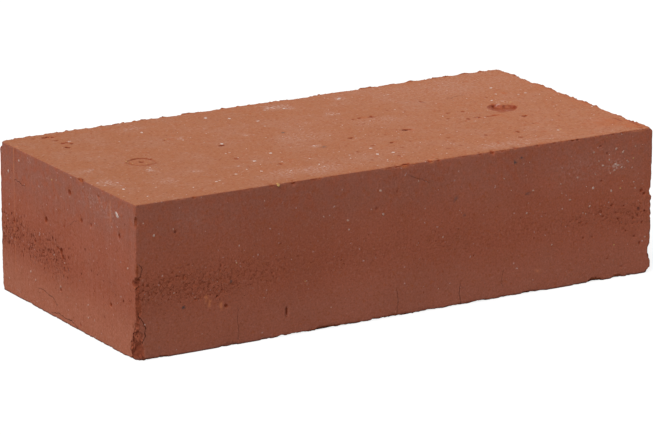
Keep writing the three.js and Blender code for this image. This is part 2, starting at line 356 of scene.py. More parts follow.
# %% Where the arrises have broken away
# The arris, and for each spall the end of the arris that it is measured from (-1 is at the
# left, at the front or below), its distance from there, its length, and its reach along the two
# axes across the arris.
SPALLS = [
    ((-1, -1, 0), [
        (1, 7.2, 4.6, 1.0, 1.3), (-1, 32.4, 3.2, 1.7, 3.2), (-1, 33.7, 3.0, 2.5, 1.6),
        (-1, 36.8, 3.8, 1.0, 0.9), (-1, 24, 25, 1.9, 0.9), (-1, 0, 31, 3.3, 5.2),
    ]),
    ((0, -1, -1), [(-1, 2, 22, 0.9, 1.0)]),
    ((-1, 0, -1), [(-1, 4, 22, 0.8, 0.8)]),
    ((1, -1, 0), [
        (1, 28.5, 4.5, 1.2, 1.9), (-1, 9.3, 7.5, 2.0, 2.0), (-1, 0, 5, 2.6, 2.0),
        (1, 0, 3.2, 1.8, 2.0),
    ]),
    ((-1, 1, 0), [(1, 0, 8, 2.7, 2.9), (-1, 0, 6, 1.8, 1.7)]),
    ((1, 1, 0), [(1, 0, 4, 1.4, 1.3), (-1, 2, 15, 3.6, 4.6)]),
    ((-1, 0, 1), [(1, 73, 5, 1.2, 1.3)]),
    ((0, -1, 1), [
        (-1, 126, 4.5, 1.3, 1.2), (-1, 121.4, 4, 0.5, 0.6), (-1, 27.0, 2.4, 0.5, 0.5),
        (-1, 72.5, 2.0, 0.5, 0.5), (-1, 138.2, 2.2, 0.8, 0.9), (-1, 168, 2.4, 0.7, 0.7),
        (-1, 173.7, 2, 0.6, 0.6), (-1, 191.3, 2.2, 0.5, 0.5), (-1, 199.5, 2.6, 0.5, 0.5),
        (-1, 209.1, 3.2, 0.6, 0.6), (-1, 234.4, 2.4, 0.5, 0.6), (-1, 240.5, 3.0, 0.4, 0.5),
    ]),
    ((0, 1, 1), [(-1, 82.4, 12, 1.2, 1.0), (1, 105.7, 22, 1.4, 1.2)]),
    ((1, 0, 1), [
        (-1, 92, 7, 1.3, 1.1), (-1, 100.5, 5, 0.9, 0.9), (-1, 71.5, 5, 1.0, 0.9),
        (-1, 62.5, 5, 0.8, 0.7), (-1, 55.5, 5, 0.9, 0.8),
    ]),
    ((0, 1, 1), [(-1, 43.5, 7, 1.1, 1.0), (-1, 52.7, 8, 1.3, 1.1), (-1, 129.0, 5, 1.2, 1.0)]),
    ((0, -1, -1), [(-1, 87.5, 20, 1.5, 1.5), (1, 29.1, 9, 1.7, 1.9), (1, 17.2, 6, 1.6, 1.8)]),
    ((0, 1, -1), [(-1, 61, 16, 2.6, 2.2)]),
]
STANDOFF = 0.6  # of a bite, from the arris out to the middle of the scoop
MOST_GRAINY = 1.3  # the uneven surface stays within this many radii


def in_order(groups):
    """The rows of a table one after another, each with what its group shares in front."""
    return [(shared, *row) for shared, rows in groups for row in rows]


def scoop_out(points, spall, seed):
    """Slides the points inside one scoop onto its surface. Returns how far each point moved."""
    arris, end, inset, length, *bites = spall
    across = np.hypot(1 + STANDOFF, STANDOFF)
    lengthwise = np.sqrt(1 - 2 * (STANDOFF / across) ** 2)
    radii = np.zeros(3)
    centre = np.zeros(3)
    for axis, sign in enumerate(arris):
        if sign == 0:
            radii[axis] = length / 2 / lengthwise
            centre[axis] = MIDDLE[axis] + end * (HALF[axis] - inset)
        else:
            reach = bites.pop(0)
            radii[axis] = reach * across
            centre[axis] = MIDDLE[axis] + sign * (HALF[axis] + STANDOFF * reach)
    away = np.linalg.norm((points - centre) / radii, axis=1)
    near = np.flatnonzero(away < MOST_GRAINY)
    grainy = 0.18 * clouds(points[near], 3.0, 3, seed) + 0.08 * cloud(points[near], 0.8, seed + 9)
    target = 1 + grainy
    inside = away[near] < target
    hit = near[inside]
    grown = (target[inside] / np.maximum(away[hit], 0.2))[:, None]
    landed = centre + (points[hit] - centre) * grown
    moved = np.zeros(len(points))
    moved[hit] = np.linalg.norm(landed - points[hit], axis=1)
    points[hit] = landed
    return moved


print(f"{len(in_order(SPALLS))} spalls")

# %% [markdown]
# ## Relief of the skin
#
# The rest of the relief is a height: a number of millimetres, out or in, for each point. The
# beds were pressed flat. Half-way up the sides the clay was pressed least, because both punches
# are far away, and there its crumbs show with gaps between them. Small hollows are where grains
# fell out, and the marks of the punch bolts and the scratch of the mould wall are where they
# are on the CAD solid.

# %% The band of loose clay half-way up
BAND_REACH = 7.5


def looseness(points):
    """How loose the clay is, from 0 to 1: a bell over the height, stronger at the left of the
    front side and at the rear of the left side, with a cloudy edge."""
    x, y, z = points.T
    lower = BAND_HEIGHT - 2.5 * on_side(points, "left")
    band = bell(z - lower + 2.5 * cloud(points, 14.0, 31), BAND_REACH)
    front = 0.35 + 0.65 * smooth(-50, -90, x) + 0.3 * smooth(85, 115, x)
    left = 0.15 + 0.85 * smooth(-14, 12, y)
    cloudy = 0.55 + 0.35 * cloud(points, 45.0, 33)
    hidden = (on_side(points, "rear") + on_side(points, "right")) * cloudy
    visible = on_side(points, "front") * front + on_side(points, "left") * left
    return np.clip(band * (visible + hidden), 0, 1)


net_loose = looseness(net_points)
print(f"loose share {net_loose.mean():.3f}")

# %% The hollows, one by one
# The side, and for each hollow its place along the side's two axes, its two half-widths and its
# depth, all in mm.
HOLLOWS = [
    ("top", [
        (-107.2, 54.4, 1.1, 1.0, 0.7), (-105.3, 54.6, 0.8, 1.2, 1.1), (-103.4, 53.5, 0.9, 1.0, 0.7),
        (-104.7, 47.3, 1.0, 0.8, 0.6), (-111.8, 54.7, 1.2, 0.8, 0.3), (-104.4, 41.8, 1.1, 1.3, 0.5),
        (-102.4, 42.0, 0.8, 0.9, 0.4), (-101.7, 39.6, 0.6, 1.2, 1.1), (-106.0, 34.6, 0.9, 1.3, 1.7),
        (-49.2, 4.9, 1.6, 1.1, 0.9), (-54.7, -17.1, 1.2, 0.9, 0.5), (4.0, -11.5, 1.2, 0.8, 0.8),
        (31.0, -11.4, 1.6, 1.0, 1.0), (32.9, -12.2, 0.9, 0.8, 0.7), (30.6, 15.8, 0.9, 1.0, 0.8),
        (30.5, 14.4, 2.6, 0.6, 0.3), (24.7, 15.6, 0.9, 0.5, 0.4), (21.2, 15.2, 0.8, 0.5, 0.4),
        (15.0, -26.5, 1.3, 0.9, 0.8), (40.0, -31.8, 0.7, 0.6, 0.4), (55.9, -35.9, 1.2, 0.9, 0.8),
        (70.7, -37.9, 0.7, 1.4, 0.6), (66.9, -46.0, 1.1, 0.9, 0.8), (30.1, -46.6, 1.4, 0.8, 0.25),
        (6.4, -46.0, 0.8, 0.6, 0.4), (-6.8, -46.7, 0.8, 0.6, 0.4), (-42.9, -33.3, 0.7, 0.7, 0.5),
        (88.1, -16.6, 1.9, 0.8, 0.8), (64.6, -9.0, 1.2, 0.9, 0.6), (69.5, -8.6, 1.8, 0.9, 0.5),
        (62.6, 4.0, 0.8, 0.8, 0.6), (69.3, 3.0, 0.8, 0.8, 0.6), (63.0, 27.0, 0.4, 1.2, 0.4),
        (-65.4, 24.9, 0.8, 0.7, 0.3), (42.2, 21.0, 0.8, 0.6, 0.25), (45.3, 9.7, 0.4, 0.5, 0.35),
        (57.2, -4.3, 0.7, 0.7, 0.5), (21.3, 6.1, 0.6, 0.5, 0.2), (18.6, 6.9, 0.6, 0.5, 0.2),
        (22.2, -4.6, 1.0, 0.5, 0.2), (19.7, -13.9, 0.5, 0.5, 0.25), (-5.1, -32.3, 0.9, 0.6, 0.4),
        (5.6, -26.9, 1.5, 0.5, 0.25), (14.6, -35.6, 0.4, 0.4, 0.3), (22.9, -28.3, 0.8, 0.4, 0.25),
        (37.4, -45.3, 0.6, 0.5, 0.3), (84.5, -29.2, 0.5, 0.5, 0.3), (91.7, 18.6, 0.4, 0.4, 0.3),
        (77.0, -9.5, 2.8, 0.9, 0.3), (73.6, -9.4, 1.4, 0.8, 0.3), (101.4, -23.8, 0.7, 0.6, 0.4),
        (119.6, -41.6, 0.8, 3.5, 0.25), (122.5, -48.7, 0.8, 3.0, 0.25),
        (121.6, -53.6, 0.7, 4.0, 0.2), (120.0, -58.0, 1.4, 1.4, 0.2), (123.6, -46.0, 0.5, 4.5, 0.2),
    ]),
    ("front", [
        (-98.4, 64.6, 1.0, 0.4, 0.35), (-62.8, 64.7, 1.0, 0.4, 0.35), (-52.5, 64.4, 0.9, 0.6, 0.5),
        (-43.5, 64.6, 2.0, 0.3, 0.3), (-7.0, 64.6, 1.4, 0.4, 0.3), (-3.4, 64.7, 1.0, 0.4, 0.4),
    ]),
    ("top", [(1.8, -59.0, 2.0, 0.5, 0.7)]),
    ("front", [
        (12.6, 64.9, 0.8, 0.4, 0.5), (17.2, 64.7, 0.7, 0.4, 0.5), (28.8, 64.7, 2.4, 0.3, 0.35),
        (37.5, 64.7, 0.8, 0.4, 0.35), (43.7, 64.5, 0.9, 0.7, 0.6), (48.5, 64.6, 0.8, 0.4, 0.4),
        (55.0, 64.8, 1.2, 0.4, 0.4), (66.2, 64.6, 0.9, 0.4, 0.3), (74.6, 64.6, 0.7, 0.4, 0.4),
        (83.7, 64.5, 0.9, 0.4, 0.6), (86.4, 64.6, 0.7, 0.4, 0.6), (104.7, 64.6, 0.8, 0.3, 0.4),
        (109.4, 64.5, 0.7, 0.4, 0.45), (-83.9, 17.3, 0.9, 0.8, 0.5), (-107.0, 51.6, 0.6, 0.6, 0.5),
        (-55.7, 10.4, 0.5, 2.2, 0.8), (-3.1, 54.1, 0.5, 0.5, 0.4), (118.4, 29.4, 0.6, 0.9, 0.3),
        (98.2, 60.1, 0.5, 0.5, 0.45), (101.7, 56.5, 0.5, 0.5, 0.45), (99.0, 44.5, 0.5, 0.5, 0.45),
        (110.7, 32.0, 0.5, 0.5, 0.45), (104.4, 33.1, 0.5, 0.5, 0.45), (107.7, 26.5, 0.5, 0.5, 0.45),
        (99.3, 30.9, 0.5, 0.5, 0.45), (117.8, 27.0, 0.5, 0.5, 0.45), (121.5, 28.2, 0.5, 0.5, 0.45),
        (120.2, 23.2, 0.5, 0.5, 0.45), (111.8, 20.7, 0.5, 0.5, 0.45), (116.4, 17.5, 0.5, 0.5, 0.45),
        (119.2, 14.1, 0.5, 0.5, 0.45), (94.4, 20.4, 0.5, 0.5, 0.45), (89.9, 20.6, 0.5, 0.5, 0.45),
        (102.6, 9.6, 0.5, 0.5, 0.45), (109.9, 4.7, 0.6, 0.5, 0.3), (119.6, 37.4, 0.9, 0.9, 0.4),
        (121.2, 36.0, 0.8, 0.7, 0.4),
    ]),
    ("left", [
        (-46.3, 49.0, 1.0, 1.4, 0.7), (-3.9, 57.3, 1.5, 1.3, 0.5), (-13.7, 47.7, 1.1, 0.9, 0.6),
        (-21.9, 47.7, 0.7, 0.7, 0.5), (18.0, 40.6, 1.1, 1.1, 0.7), (1.6, 41.7, 0.6, 0.6, 0.4),
        (4.6, 30.2, 0.9, 1.3, 0.7), (3.2, 27.8, 0.8, 1.0, 0.7), (7.8, 31.0, 0.7, 0.7, 0.6),
        (28.5, 28.8, 0.9, 0.7, 0.5), (47.4, 33.2, 0.7, 1.4, 0.5), (44.8, 30.6, 0.7, 0.7, 0.5),
        (-38.4, 18.3, 0.9, 0.9, 0.6), (-32.8, 11.6, 0.6, 0.6, 0.4), (5.8, 13.4, 0.9, 0.7, 0.5),
        (-11.3, 3.0, 0.7, 0.7, 0.4),
    ]),
]
BED_HALF = (0.85, 1.1)  # by this the half-widths on the upper bed are multiplied
BED_LEAST_HALF = (0.65, 0.85)
BED_MOST_DEPTH = 0.65
SPOT_REACH = 1.8  # half-widths from a spot's middle to which its cloudy rim may reach
UNDER_SIDE = 2.0  # mm below a side, within which a point still belongs to it


def along_side(points, side):
    """The two coordinates of a point on a side, in the order X, Y, Z."""
    return points[:, others(SIDES[side][0])]


def near_side(points, side, place, half):
    """The numbers of the points of a side that are near a place, and their offsets from it in
    half-widths."""
    axis, sign = SIDES[side]
    away = (along_side(points, side) - place) / half
    close = (np.abs(away) < SPOT_REACH).all(axis=1)
    close &= sign * (points - MIDDLE)[:, axis] > HALF[axis] - UNDER_SIDE
    numbers = np.flatnonzero(close)
    return numbers, away[numbers]


def hollow_depth(points):
    """Depth in mm of the listed hollows: half-round bowls with an uneven rim. Also how hollow
    they look, which the material paints as painted shade, nearly the same from the middle out to
    the rim."""
    depth = np.zeros(len(points))
    look = np.zeros(len(points))
    for number, (side, *row) in enumerate(in_order(HOLLOWS)):
        place, half, deepest = row[:2], row[2:4], row[4]
        plain = 2.2 * deepest
        if side == "top":
            half = np.maximum(np.multiply(half, BED_HALF), BED_LEAST_HALF)
            deepest, plain = min(0.8 * deepest, BED_MOST_DEPTH), 3 * deepest
        near, away = near_side(points, side, place, half)
        rim = 1 + 0.35 * cloud(points[near], min(half) * 1.6, 200 + number)
        bowl = np.clip(1 - (np.linalg.norm(away, axis=1) / rim) ** 2, 0, 1)
        depth[near] = np.maximum(depth[near], deepest * np.sqrt(bowl))
        look[near] = np.maximum(look[near], plain * bowl**0.3)
    return depth, look


print(f"{len(in_order(HOLLOWS))} hollows by hand")

# %% Bolt marks and the scratch
BOLT_RADIUS = 5.9  # of the marks that the bolt heads left, to the rim
IMPRINT_MIDDLE = (0, -1.1)  # of the left mark, from the bolt's axis: it was pressed a little off
GROOVE_WIDTH = 1.0
GROOVE_DEPTH = 0.75
BOLT_FACE_DEPTH = 0.15
PIP_RADIUS = 1.0
PIP_DEPTH = 1.0
TEAR_DEPTH = 1.1
TEAR_LIP = 0.38
TEAR_RADIUS = 7.1  # a little of the clay round the bolt head came away too
TEAR_MIDDLE = (-0.4, 0.25)  # of the torn clay, from the bolt's axis
TOWARDS = (0.51, 0.86)  # the way the clay was pulled
SCRATCH_LENGTH = 21.0
SCRATCH_WIDTH = 1.0
SCRATCH_DEPTH = 0.3
SCRATCH_OFF = 0.7  # of its middle, from the finer strip's


def by_bolt(points, bolt, middle):
    """Where a point lies from a mark's middle: how far "beyond" it along the way the clay was
    pulled, and how far "beside" it, to the right of that."""
    x, y = points[:, 0] - bolt - middle[0], points[:, 1] - middle[1]
    return x * TOWARDS[0] + y * TOWARDS[1], x * TOWARDS[1] - y * TOWARDS[0]


def bolt_imprint(points):
    """Depth of the left bolt's mark: a flat disc, a groove round it and a pip in its middle.
    Also how hollow it looks, which the material paints as painted shade: most at the rear of the
    groove and in the pip, with a painted shadow line on the flat just in front of the near rim."""
    beyond, beside = by_bolt(points, BOLTS[0], IMPRINT_MIDDLE)
    away = np.hypot(points[:, 0] - BOLTS[0], points[:, 1] - IMPRINT_MIDDLE[1])
    uneven = away + 0.18 * cloud(points, 3.0, 41)
    disc = BOLT_FACE_DEPTH * (1 - smooth(BOLT_RADIUS - 0.3, BOLT_RADIUS, uneven))
    groove = np.exp(-(((uneven - BOLT_RADIUS + GROOVE_WIDTH / 2) / (GROOVE_WIDTH / 2)) ** 4))
    shallow = smooth(2.8, 5.2, np.abs(beside))
    groove *= 1.0 + 0.2 * cloud(points, 1.8, 42) - 0.6 * shallow
    pip = 1 - smooth(0.55 * PIP_RADIUS, 1.3 * PIP_RADIUS, away)
    depth = disc + (GROOVE_DEPTH - BOLT_FACE_DEPTH) * groove + PIP_DEPTH * pip
    # Painted shade: the groove is painted darker towards its rear wall, and a painted shadow line
    # lies just outside the near rim.
    far = smooth(2.5, 5.0, beyond + 0.25 * np.abs(beside) - 0.35 * beside)
    rim_shadow = 0.75 * bell(uneven - BOLT_RADIUS - 0.35, 0.6) * smooth(0.5, -2.5, beyond)
    return depth, np.maximum.reduce([groove * (0.3 + 1.2 * far), rim_shadow, 2.4 * pip])


def torn_mark(points):
    """Depth of the right bolt's mark. A floor falls gently from the rim to a ragged wall, and
    beyond the wall the clay stayed as a ledge with a lip. A hole lies at the wall's left end
    and a split at its right end. Also how hollow each point looks: the material paints it darker,
    partly for the torn clay's own colour and partly as painted shade."""
    beyond, beside = by_bolt(points, BOLTS[1], TEAR_MIDDLE)
    narrow = np.where(beside > 0, 1.13, 1.03)
    inward = TEAR_RADIUS - np.hypot(narrow * beside, 0.96 * beyond) + 0.15 * cloud(points, 2.4, 43)
    beyond = beyond - 0.4
    inside = smooth(-0.1, 0.15, inward)
    # The floor, with streaks across the way the clay was pulled.
    fall = np.clip((beyond + TEAR_RADIUS) / 8, 0, 1)
    floor = TEAR_DEPTH * fall * smooth(0, 1.2, inward) * (0.35 + 0.65 * smooth(-5.4, -3.8, beside))
    slanted = [0.45 * beside + 0.89 * beyond, 0.27 * beside - 0.13 * beyond, 0 * beyond]
    streak = cloud(np.stack(slanted, axis=1), 0.8, 45)
    floor += 0.12 * inside * streak * smooth(0.5, 1.5, inward)
    # The wall, and the ledge and the lip of the clay that stayed beyond it.
    edge = 1.7 + 1.8 * smooth(-0.6, 1.4, beside) + np.clip(-0.3 - beside, 0, 2.6)
    climb = beyond - edge - 0.3 * cloud(points, 1.8, 44) - 0.2 * streak
    stayed = smooth(-0.1, 1.2, climb) * smooth(-4.6, -3.8, beside) * smooth(5.6, 5.0, beside)
    lip = TEAR_LIP * bell(beside + 1.8, 2.0) * smooth(4.0, 1.5, climb)
    ledge = (0.12 * clouds(points, 1.5, 2, 46) - lip) * smooth(0, 0.8, inward)
    # The hole and the split at the wall's ends, both painted darkest, a painted shade in them.
    hole = np.exp(-(((beside + 4.1) / 0.75) ** 2) - ((beyond - 4.7) / 1.0) ** 2)
    split = bell(np.hypot(beside, beyond) - 5.6, 0.5)
    split = split * smooth(1.5, 3.0, beside) * smooth(-0.8, 0.4, beyond)
    depth = (floor * (1 - stayed) + ledge * stayed) * inside + 0.7 * hole + 0.4 * split
    # The looks: bare clay on the ledge, a little painted shade on the wall, painted shadow spots
    # on the wall's foot, and streaks on the floor, which is painted dark, partly as painted shade.
    bare = 0.3 * smooth(1.2, 0.8, climb) + 0.3 * smooth(0.2, -0.5, climb)
    spots = 0.4 * smooth(0.1, 0.5, streak) * smooth(0.2, -0.5, climb) * smooth(-4.0, -2.5, climb)
    streaky = 0.75 + 0.5 * smooth(0.0, 0.5, streak) * smooth(0.6, 2.0, inward)
    look = (np.where(stayed > 0.02, bare, streaky) + spots) * inside
    return depth, np.maximum.reduce([look, 2.0 * hole, 0.8 * split])


def scratch_depth(points):
    """Depth of the scratch down the left side: a narrow bell across it that fades downwards."""
    down = (HEIGHT - points[:, 2]) / SCRATCH_LENGTH
    across = bell(points[:, 1] - SCRATCH_Y - SCRATCH_OFF, SCRATCH_WIDTH / 2)
    return SCRATCH_DEPTH * across * (1 - smooth(0.5, 1.1, down))


print(f"bolt marks at x = {BOLTS[0]:.1f} and {BOLTS[1]:.1f} mm")

# %% The height of the skin
MOST_HOLLOW = 2.2


def skin(points, broken):
    """The relief of the skin in mm, outwards, and how hollow each point is, which the material
    paints darker as painted shade: 1 is plain to see, and more is deep."""
    upright = 1 - np.abs(outward(points)[:, 2])
    top = on_side(points, "top")
    left = on_side(points, "left")
    rough = np.clip(looseness(points) + broken, 0, 1)
    height = (0.05 + 0.07 * upright) * cloud(points, 28.0, 51)
    height += (0.02 + 0.02 * upright) * cloud(points, 9.0, 52)
    height += 0.16 * rough * clouds(points, 2.6, 3, 53)
    height += broken * (0.22 * cloud(points, 1.9, 55) + 0.2 * cloud(points, 1.0, 57))

    # On the ends the gaps between the crumbs are drawn out upwards.
    drawn_out = points.copy()
    drawn_out[:, 2] *= 1 - 0.4 * (left + on_side(points, "right"))
    crumb = pocks(drawn_out, 1.7, 0.8, 0.5, 61)
    fallen = crumb * smooth(0.1, 0.5, rough) * smooth(-0.4, 0.2, cloud(points, 4.5, 56))
    height -= 0.45 * fallen
    rare = pocks(points, 14.0, 0.35, 0.9, 71) * (0.4 + 0.6 * upright)
    height -= 0.5 * rare

    by_hand, by_hand_look = hollow_depth(points)
    imprint, imprint_look = bolt_imprint(points)
    torn, torn_look = torn_mark(points)
    height -= by_hand + top * (imprint + torn) + left * scratch_depth(points)
    # How hollow each point is, which the material paints darker: a painted shade in the hollows and
    # pocks.
    hollow = 0.8 * fallen + 0.8 * rare + by_hand_look + top * (imprint_look + torn_look)
    return height, np.clip(hollow, 0, MOST_HOLLOW)


# %% [markdown]
# ## Flash
#
# Damp clay creeps into the gap between punch and mould and leaves a thin fin along the arris.
# It breaks off in teeth, which stand up from the rear and right arrises of the upper bed.


# %% Teeth of flash along an arris
# Taller teeth on the rear arris and on the right one: place along it, half-width, height, mm.
REAR_TEETH = [
    (-93.8, 1.2, 0.6), (-89.4, 0.8, 0.3), (-57.4, 1.0, 0.5), (-46.6, 1.3, 0.8),
    (-17.8, 1.2, 0.6), (57.3, 1.4, 0.6), (78.2, 2.0, 0.6), (90.0, 3.2, 0.6),
    (96.6, 0.8, 0.8), (106.5, 2.6, 0.6), (115.0, 1.2, 0.6),
]
RIGHT_TEETH = [
    (45.8, 2.2, 0.75), (24.0, 1.6, 0.5), (17.4, 2.6, 0.7), (-10.0, 1.8, 0.65),
    (-17.6, 1.0, 0.5), (-46.5, 1.4, 0.45),
]
FIN_REACH = 0.6  # in from the arris
FIN_ROOT = 0.8  # down from the bed


def flash(flat):
    """Height in mm of the fins above the upper bed, by the point's place on the sharp block: a
    ragged row of teeth that falls off within a millimetre of the rear and right arrises."""
    inset = insets(flat)
    x, y, z = flat.T
    rear = (y > 0) * bell(inset[:, 1], FIN_REACH) * smooth(2, 7, inset[:, 0])
    right = (x > 0) * bell(inset[:, 0], FIN_REACH) * smooth(2, 7, inset[:, 1])
    ragged = 0.6 * cloud(flat, 1.7, 81) + 0.8 * cloud(flat, 4.4, 82) + 0.5 * cloud(flat, 13.0, 83)
    tall = np.clip(0.3 + 0.35 * cloud(flat, 1.1, 84), 0.05, 1)
    height = smooth(-0.15, 0.15, ragged) * tall * np.maximum(rear, 0.8 * right)
    for teeth, fin, along in ((REAR_TEETH, rear, x), (RIGHT_TEETH, right, y)):
        for place, half, tallest in teeth:
            height = np.maximum(height, tallest * fin * bell(along - place, half))
    return height * bell(inset[:, 2], FIN_ROOT) * (z > HEIGHT / 2)


print(f"{len(REAR_TEETH) + len(RIGHT_TEETH)} taller teeth")

# %% [markdown]
# ## Put the surface together
#
# One function carries points from the sharp block to the worn brick. The net goes through it,
# and later the grains of lime do too, which is why it takes any points and not just the net.


# %% From the sharp block to the worn brick
SAG = 0.8  # mm by which the kiln let the right front corner of the upper bed down


def sculpt(flat):
    """Carries points of the sharp block to the brick's surface. Returns the points, and for
    each how broken and how hollow it is; the material paints the hollow ones darker as painted
    shade."""
    points = flat.copy()
    moved = np.zeros(len(points))
    for number, (arris, plain, ragged, shares) in enumerate(ARRIS_WEAR):
        far = slide_to_arc(points, arris, nibbled(plain, ragged, 300 + 10 * number), shares)
        moved = np.maximum(moved, far - 0.45 * plain)
    for number, (arris, stretch, radius, shares) in enumerate(CRUMBLED):
        crumbling = crumbled(arris.index(0), stretch, radius, 450 + 10 * number)
        moved = np.maximum(moved, slide_to_arc(points, arris, crumbling, shares))
    for number, spall in enumerate(in_order(SPALLS)):
        moved = np.maximum(moved, scoop_out(points, spall, 500 + 10 * number))
    broken = smooth(0.05, 0.35, moved)
    height, hollow = skin(flat, broken)
    out = outward(flat)
    points += out * height[:, None]
    # A fin leans half outwards. Nothing may come down through the face that the brick rests on.
    fin = flash(flat)
    points += fin[:, None] * (out * (0.5, 0.5, 0) + (0, 0, 1))
    points[:, 2] = np.maximum(points[:, 2], 0)
    rightward, frontward = (flat[:, 0] + HALF[0]) / LENGTH, (HALF[1] - flat[:, 1]) / WIDTH
    points[:, 2] *= 1 - SAG * rightward * frontward / HEIGHT
    # The right arris of the upper bed is rubbed to bare clay in stretches.
    inset = insets(flat)
    frayed = bell(inset[:, 0] + inset[:, 2], 0.9) * (flat[:, 0] > 0)
    frayed *= (flat[:, 2] > HEIGHT / 2) * smooth(-0.6, 0.2, cloud(flat, 3.0, 85))
    return points, np.maximum.reduce([broken, smooth(0.05, 0.3, fin), 0.9 * frayed]), hollow


worn, broken, hollow = sculpt(net_points)
print(f"moved at most {np.linalg.norm(worn - net_points, axis=1).max():.2f} mm")
print(f"broken share {broken.mean():.3f}, hollow share {hollow.mean():.3f}")

# %% [markdown]
# ## Cracks as signed distances
#
# A hairline crack is far thinner than a step of the net. But a distance changes evenly across
# a face, so the net can carry it: each point keeps how far it lies to the left or right of the
# crack, and the material draws the line where that number passes zero. A second number says
# how near the crack is, so that the line ends where the crack does.

# %% Hairline cracks
# Each crack: its side, how plain it is to see, and its points along the side's two axes, in mm.
CRACKS = [
    ("front", 1.0, [
        (-125.2, 21.4), (-124.4, 19.5), (-122.9, 17.8), (-122.1, 16.3), (-121.6, 14.8),
        (-120.9, 13.8), (-121.3, 12.2), (-121.1, 10.4), (-121.7, 8.8), (-122.6, 7.1),
    ]),
    ("front", 0.8, [
        (-122.9, 39.6), (-122.1, 38.8), (-122.6, 37.2), (-122.9, 35.4), (-124.2, 34.7),
    ]),
    ("front", 0.35, [(-78.3, 15.4), (-78.9, 10.4), (-78.1, 6.5), (-78.5, 2.5)]),
    ("front", 0.45, [(-2.9, 11.5), (-2.3, 6.5), (-2.9, 1.5)]),
    ("front", 0.6, [(28.1, 9.5), (27.7, 5.5), (28.4, 1.6)]),
    ("front", 0.4, [(49.6, 11.5), (48.7, 8.5), (49.1, 5.6)]),
    ("front", 0.35, [(2.9, 60.1), (5.9, 58.7), (8.9, 57.7), (11.9, 56.1)]),
    ("left", 0.8, [(46.2, 51.2), (41.7, 51.1), (39.7, 50.1), (37.2, 50.5)]),
    ("left", 0.6, [(25.6, 9.0), (21.6, 9.4), (17.6, 8.6), (12.6, 8.2), (9.6, 6.0), (5.4, 4.9)]),
    ("left", 0.7, [(13.6, 1.6), (7.6, 2.8), (2.6, 2.1), (-3.4, 2.5), (-8.3, 1.2)]),
    ("left", 0.4, [(-4.3, 43.9), (-7.3, 45.9), (-9.3, 46.3)]),
    ("top", 0.5, [(77.3, 24.5), (78.5, 26.1), (81.1, 26.9), (85.2, 27.3)]),
]
FAR = 3.0  # mm from a crack at which it no longer counts


def to_path(places, path):
    """The distance from each place to a path, and the signed distance from the line of the
    nearest stretch: the length of the cross product with the stretch's direction."""
    nearest = np.full(len(places), np.inf)
    signed = nearest.copy()
    for start, end in zip(path[:-1], path[1:]):
        start, run = np.array(start), np.subtract(end, start)
        length = np.linalg.norm(run)
        share = np.clip((places - start) @ run / length**2, 0, 1)
        gap = np.linalg.norm(places - start - share[:, None] * run, axis=1)
        side = (places[:, 0] - start[0]) * run[1] - (places[:, 1] - start[1]) * run[0]
        closer = gap < nearest
        nearest = np.where(closer, gap, nearest)
        signed = np.where(closer, side / length, signed)
    return nearest, signed


def crack_fields(flat):
    """For each point, how near a crack is, from 0 to 1, and the signed distance in mm."""
    near = np.zeros(len(flat))
    across = np.full(len(flat), FAR)
    for side, plain, path in CRACKS:
        axis, sign = SIDES[side]
        here = np.flatnonzero(sign * (flat - MIDDLE)[:, axis] > HALF[axis] - ON_SIDE)
        gap, signed = to_path(along_side(flat[here], side), path)
        close = gap < FAR
        across[here[close]] = signed[close]
        near[here[close]] = plain * np.clip(1.7 - gap[close] / 0.7, 0, 1)
    return near, across


crack_near, crack_across = crack_fields(net_points)
print(f"{len(CRACKS)} cracks, {np.count_nonzero(crack_near)} points near them")
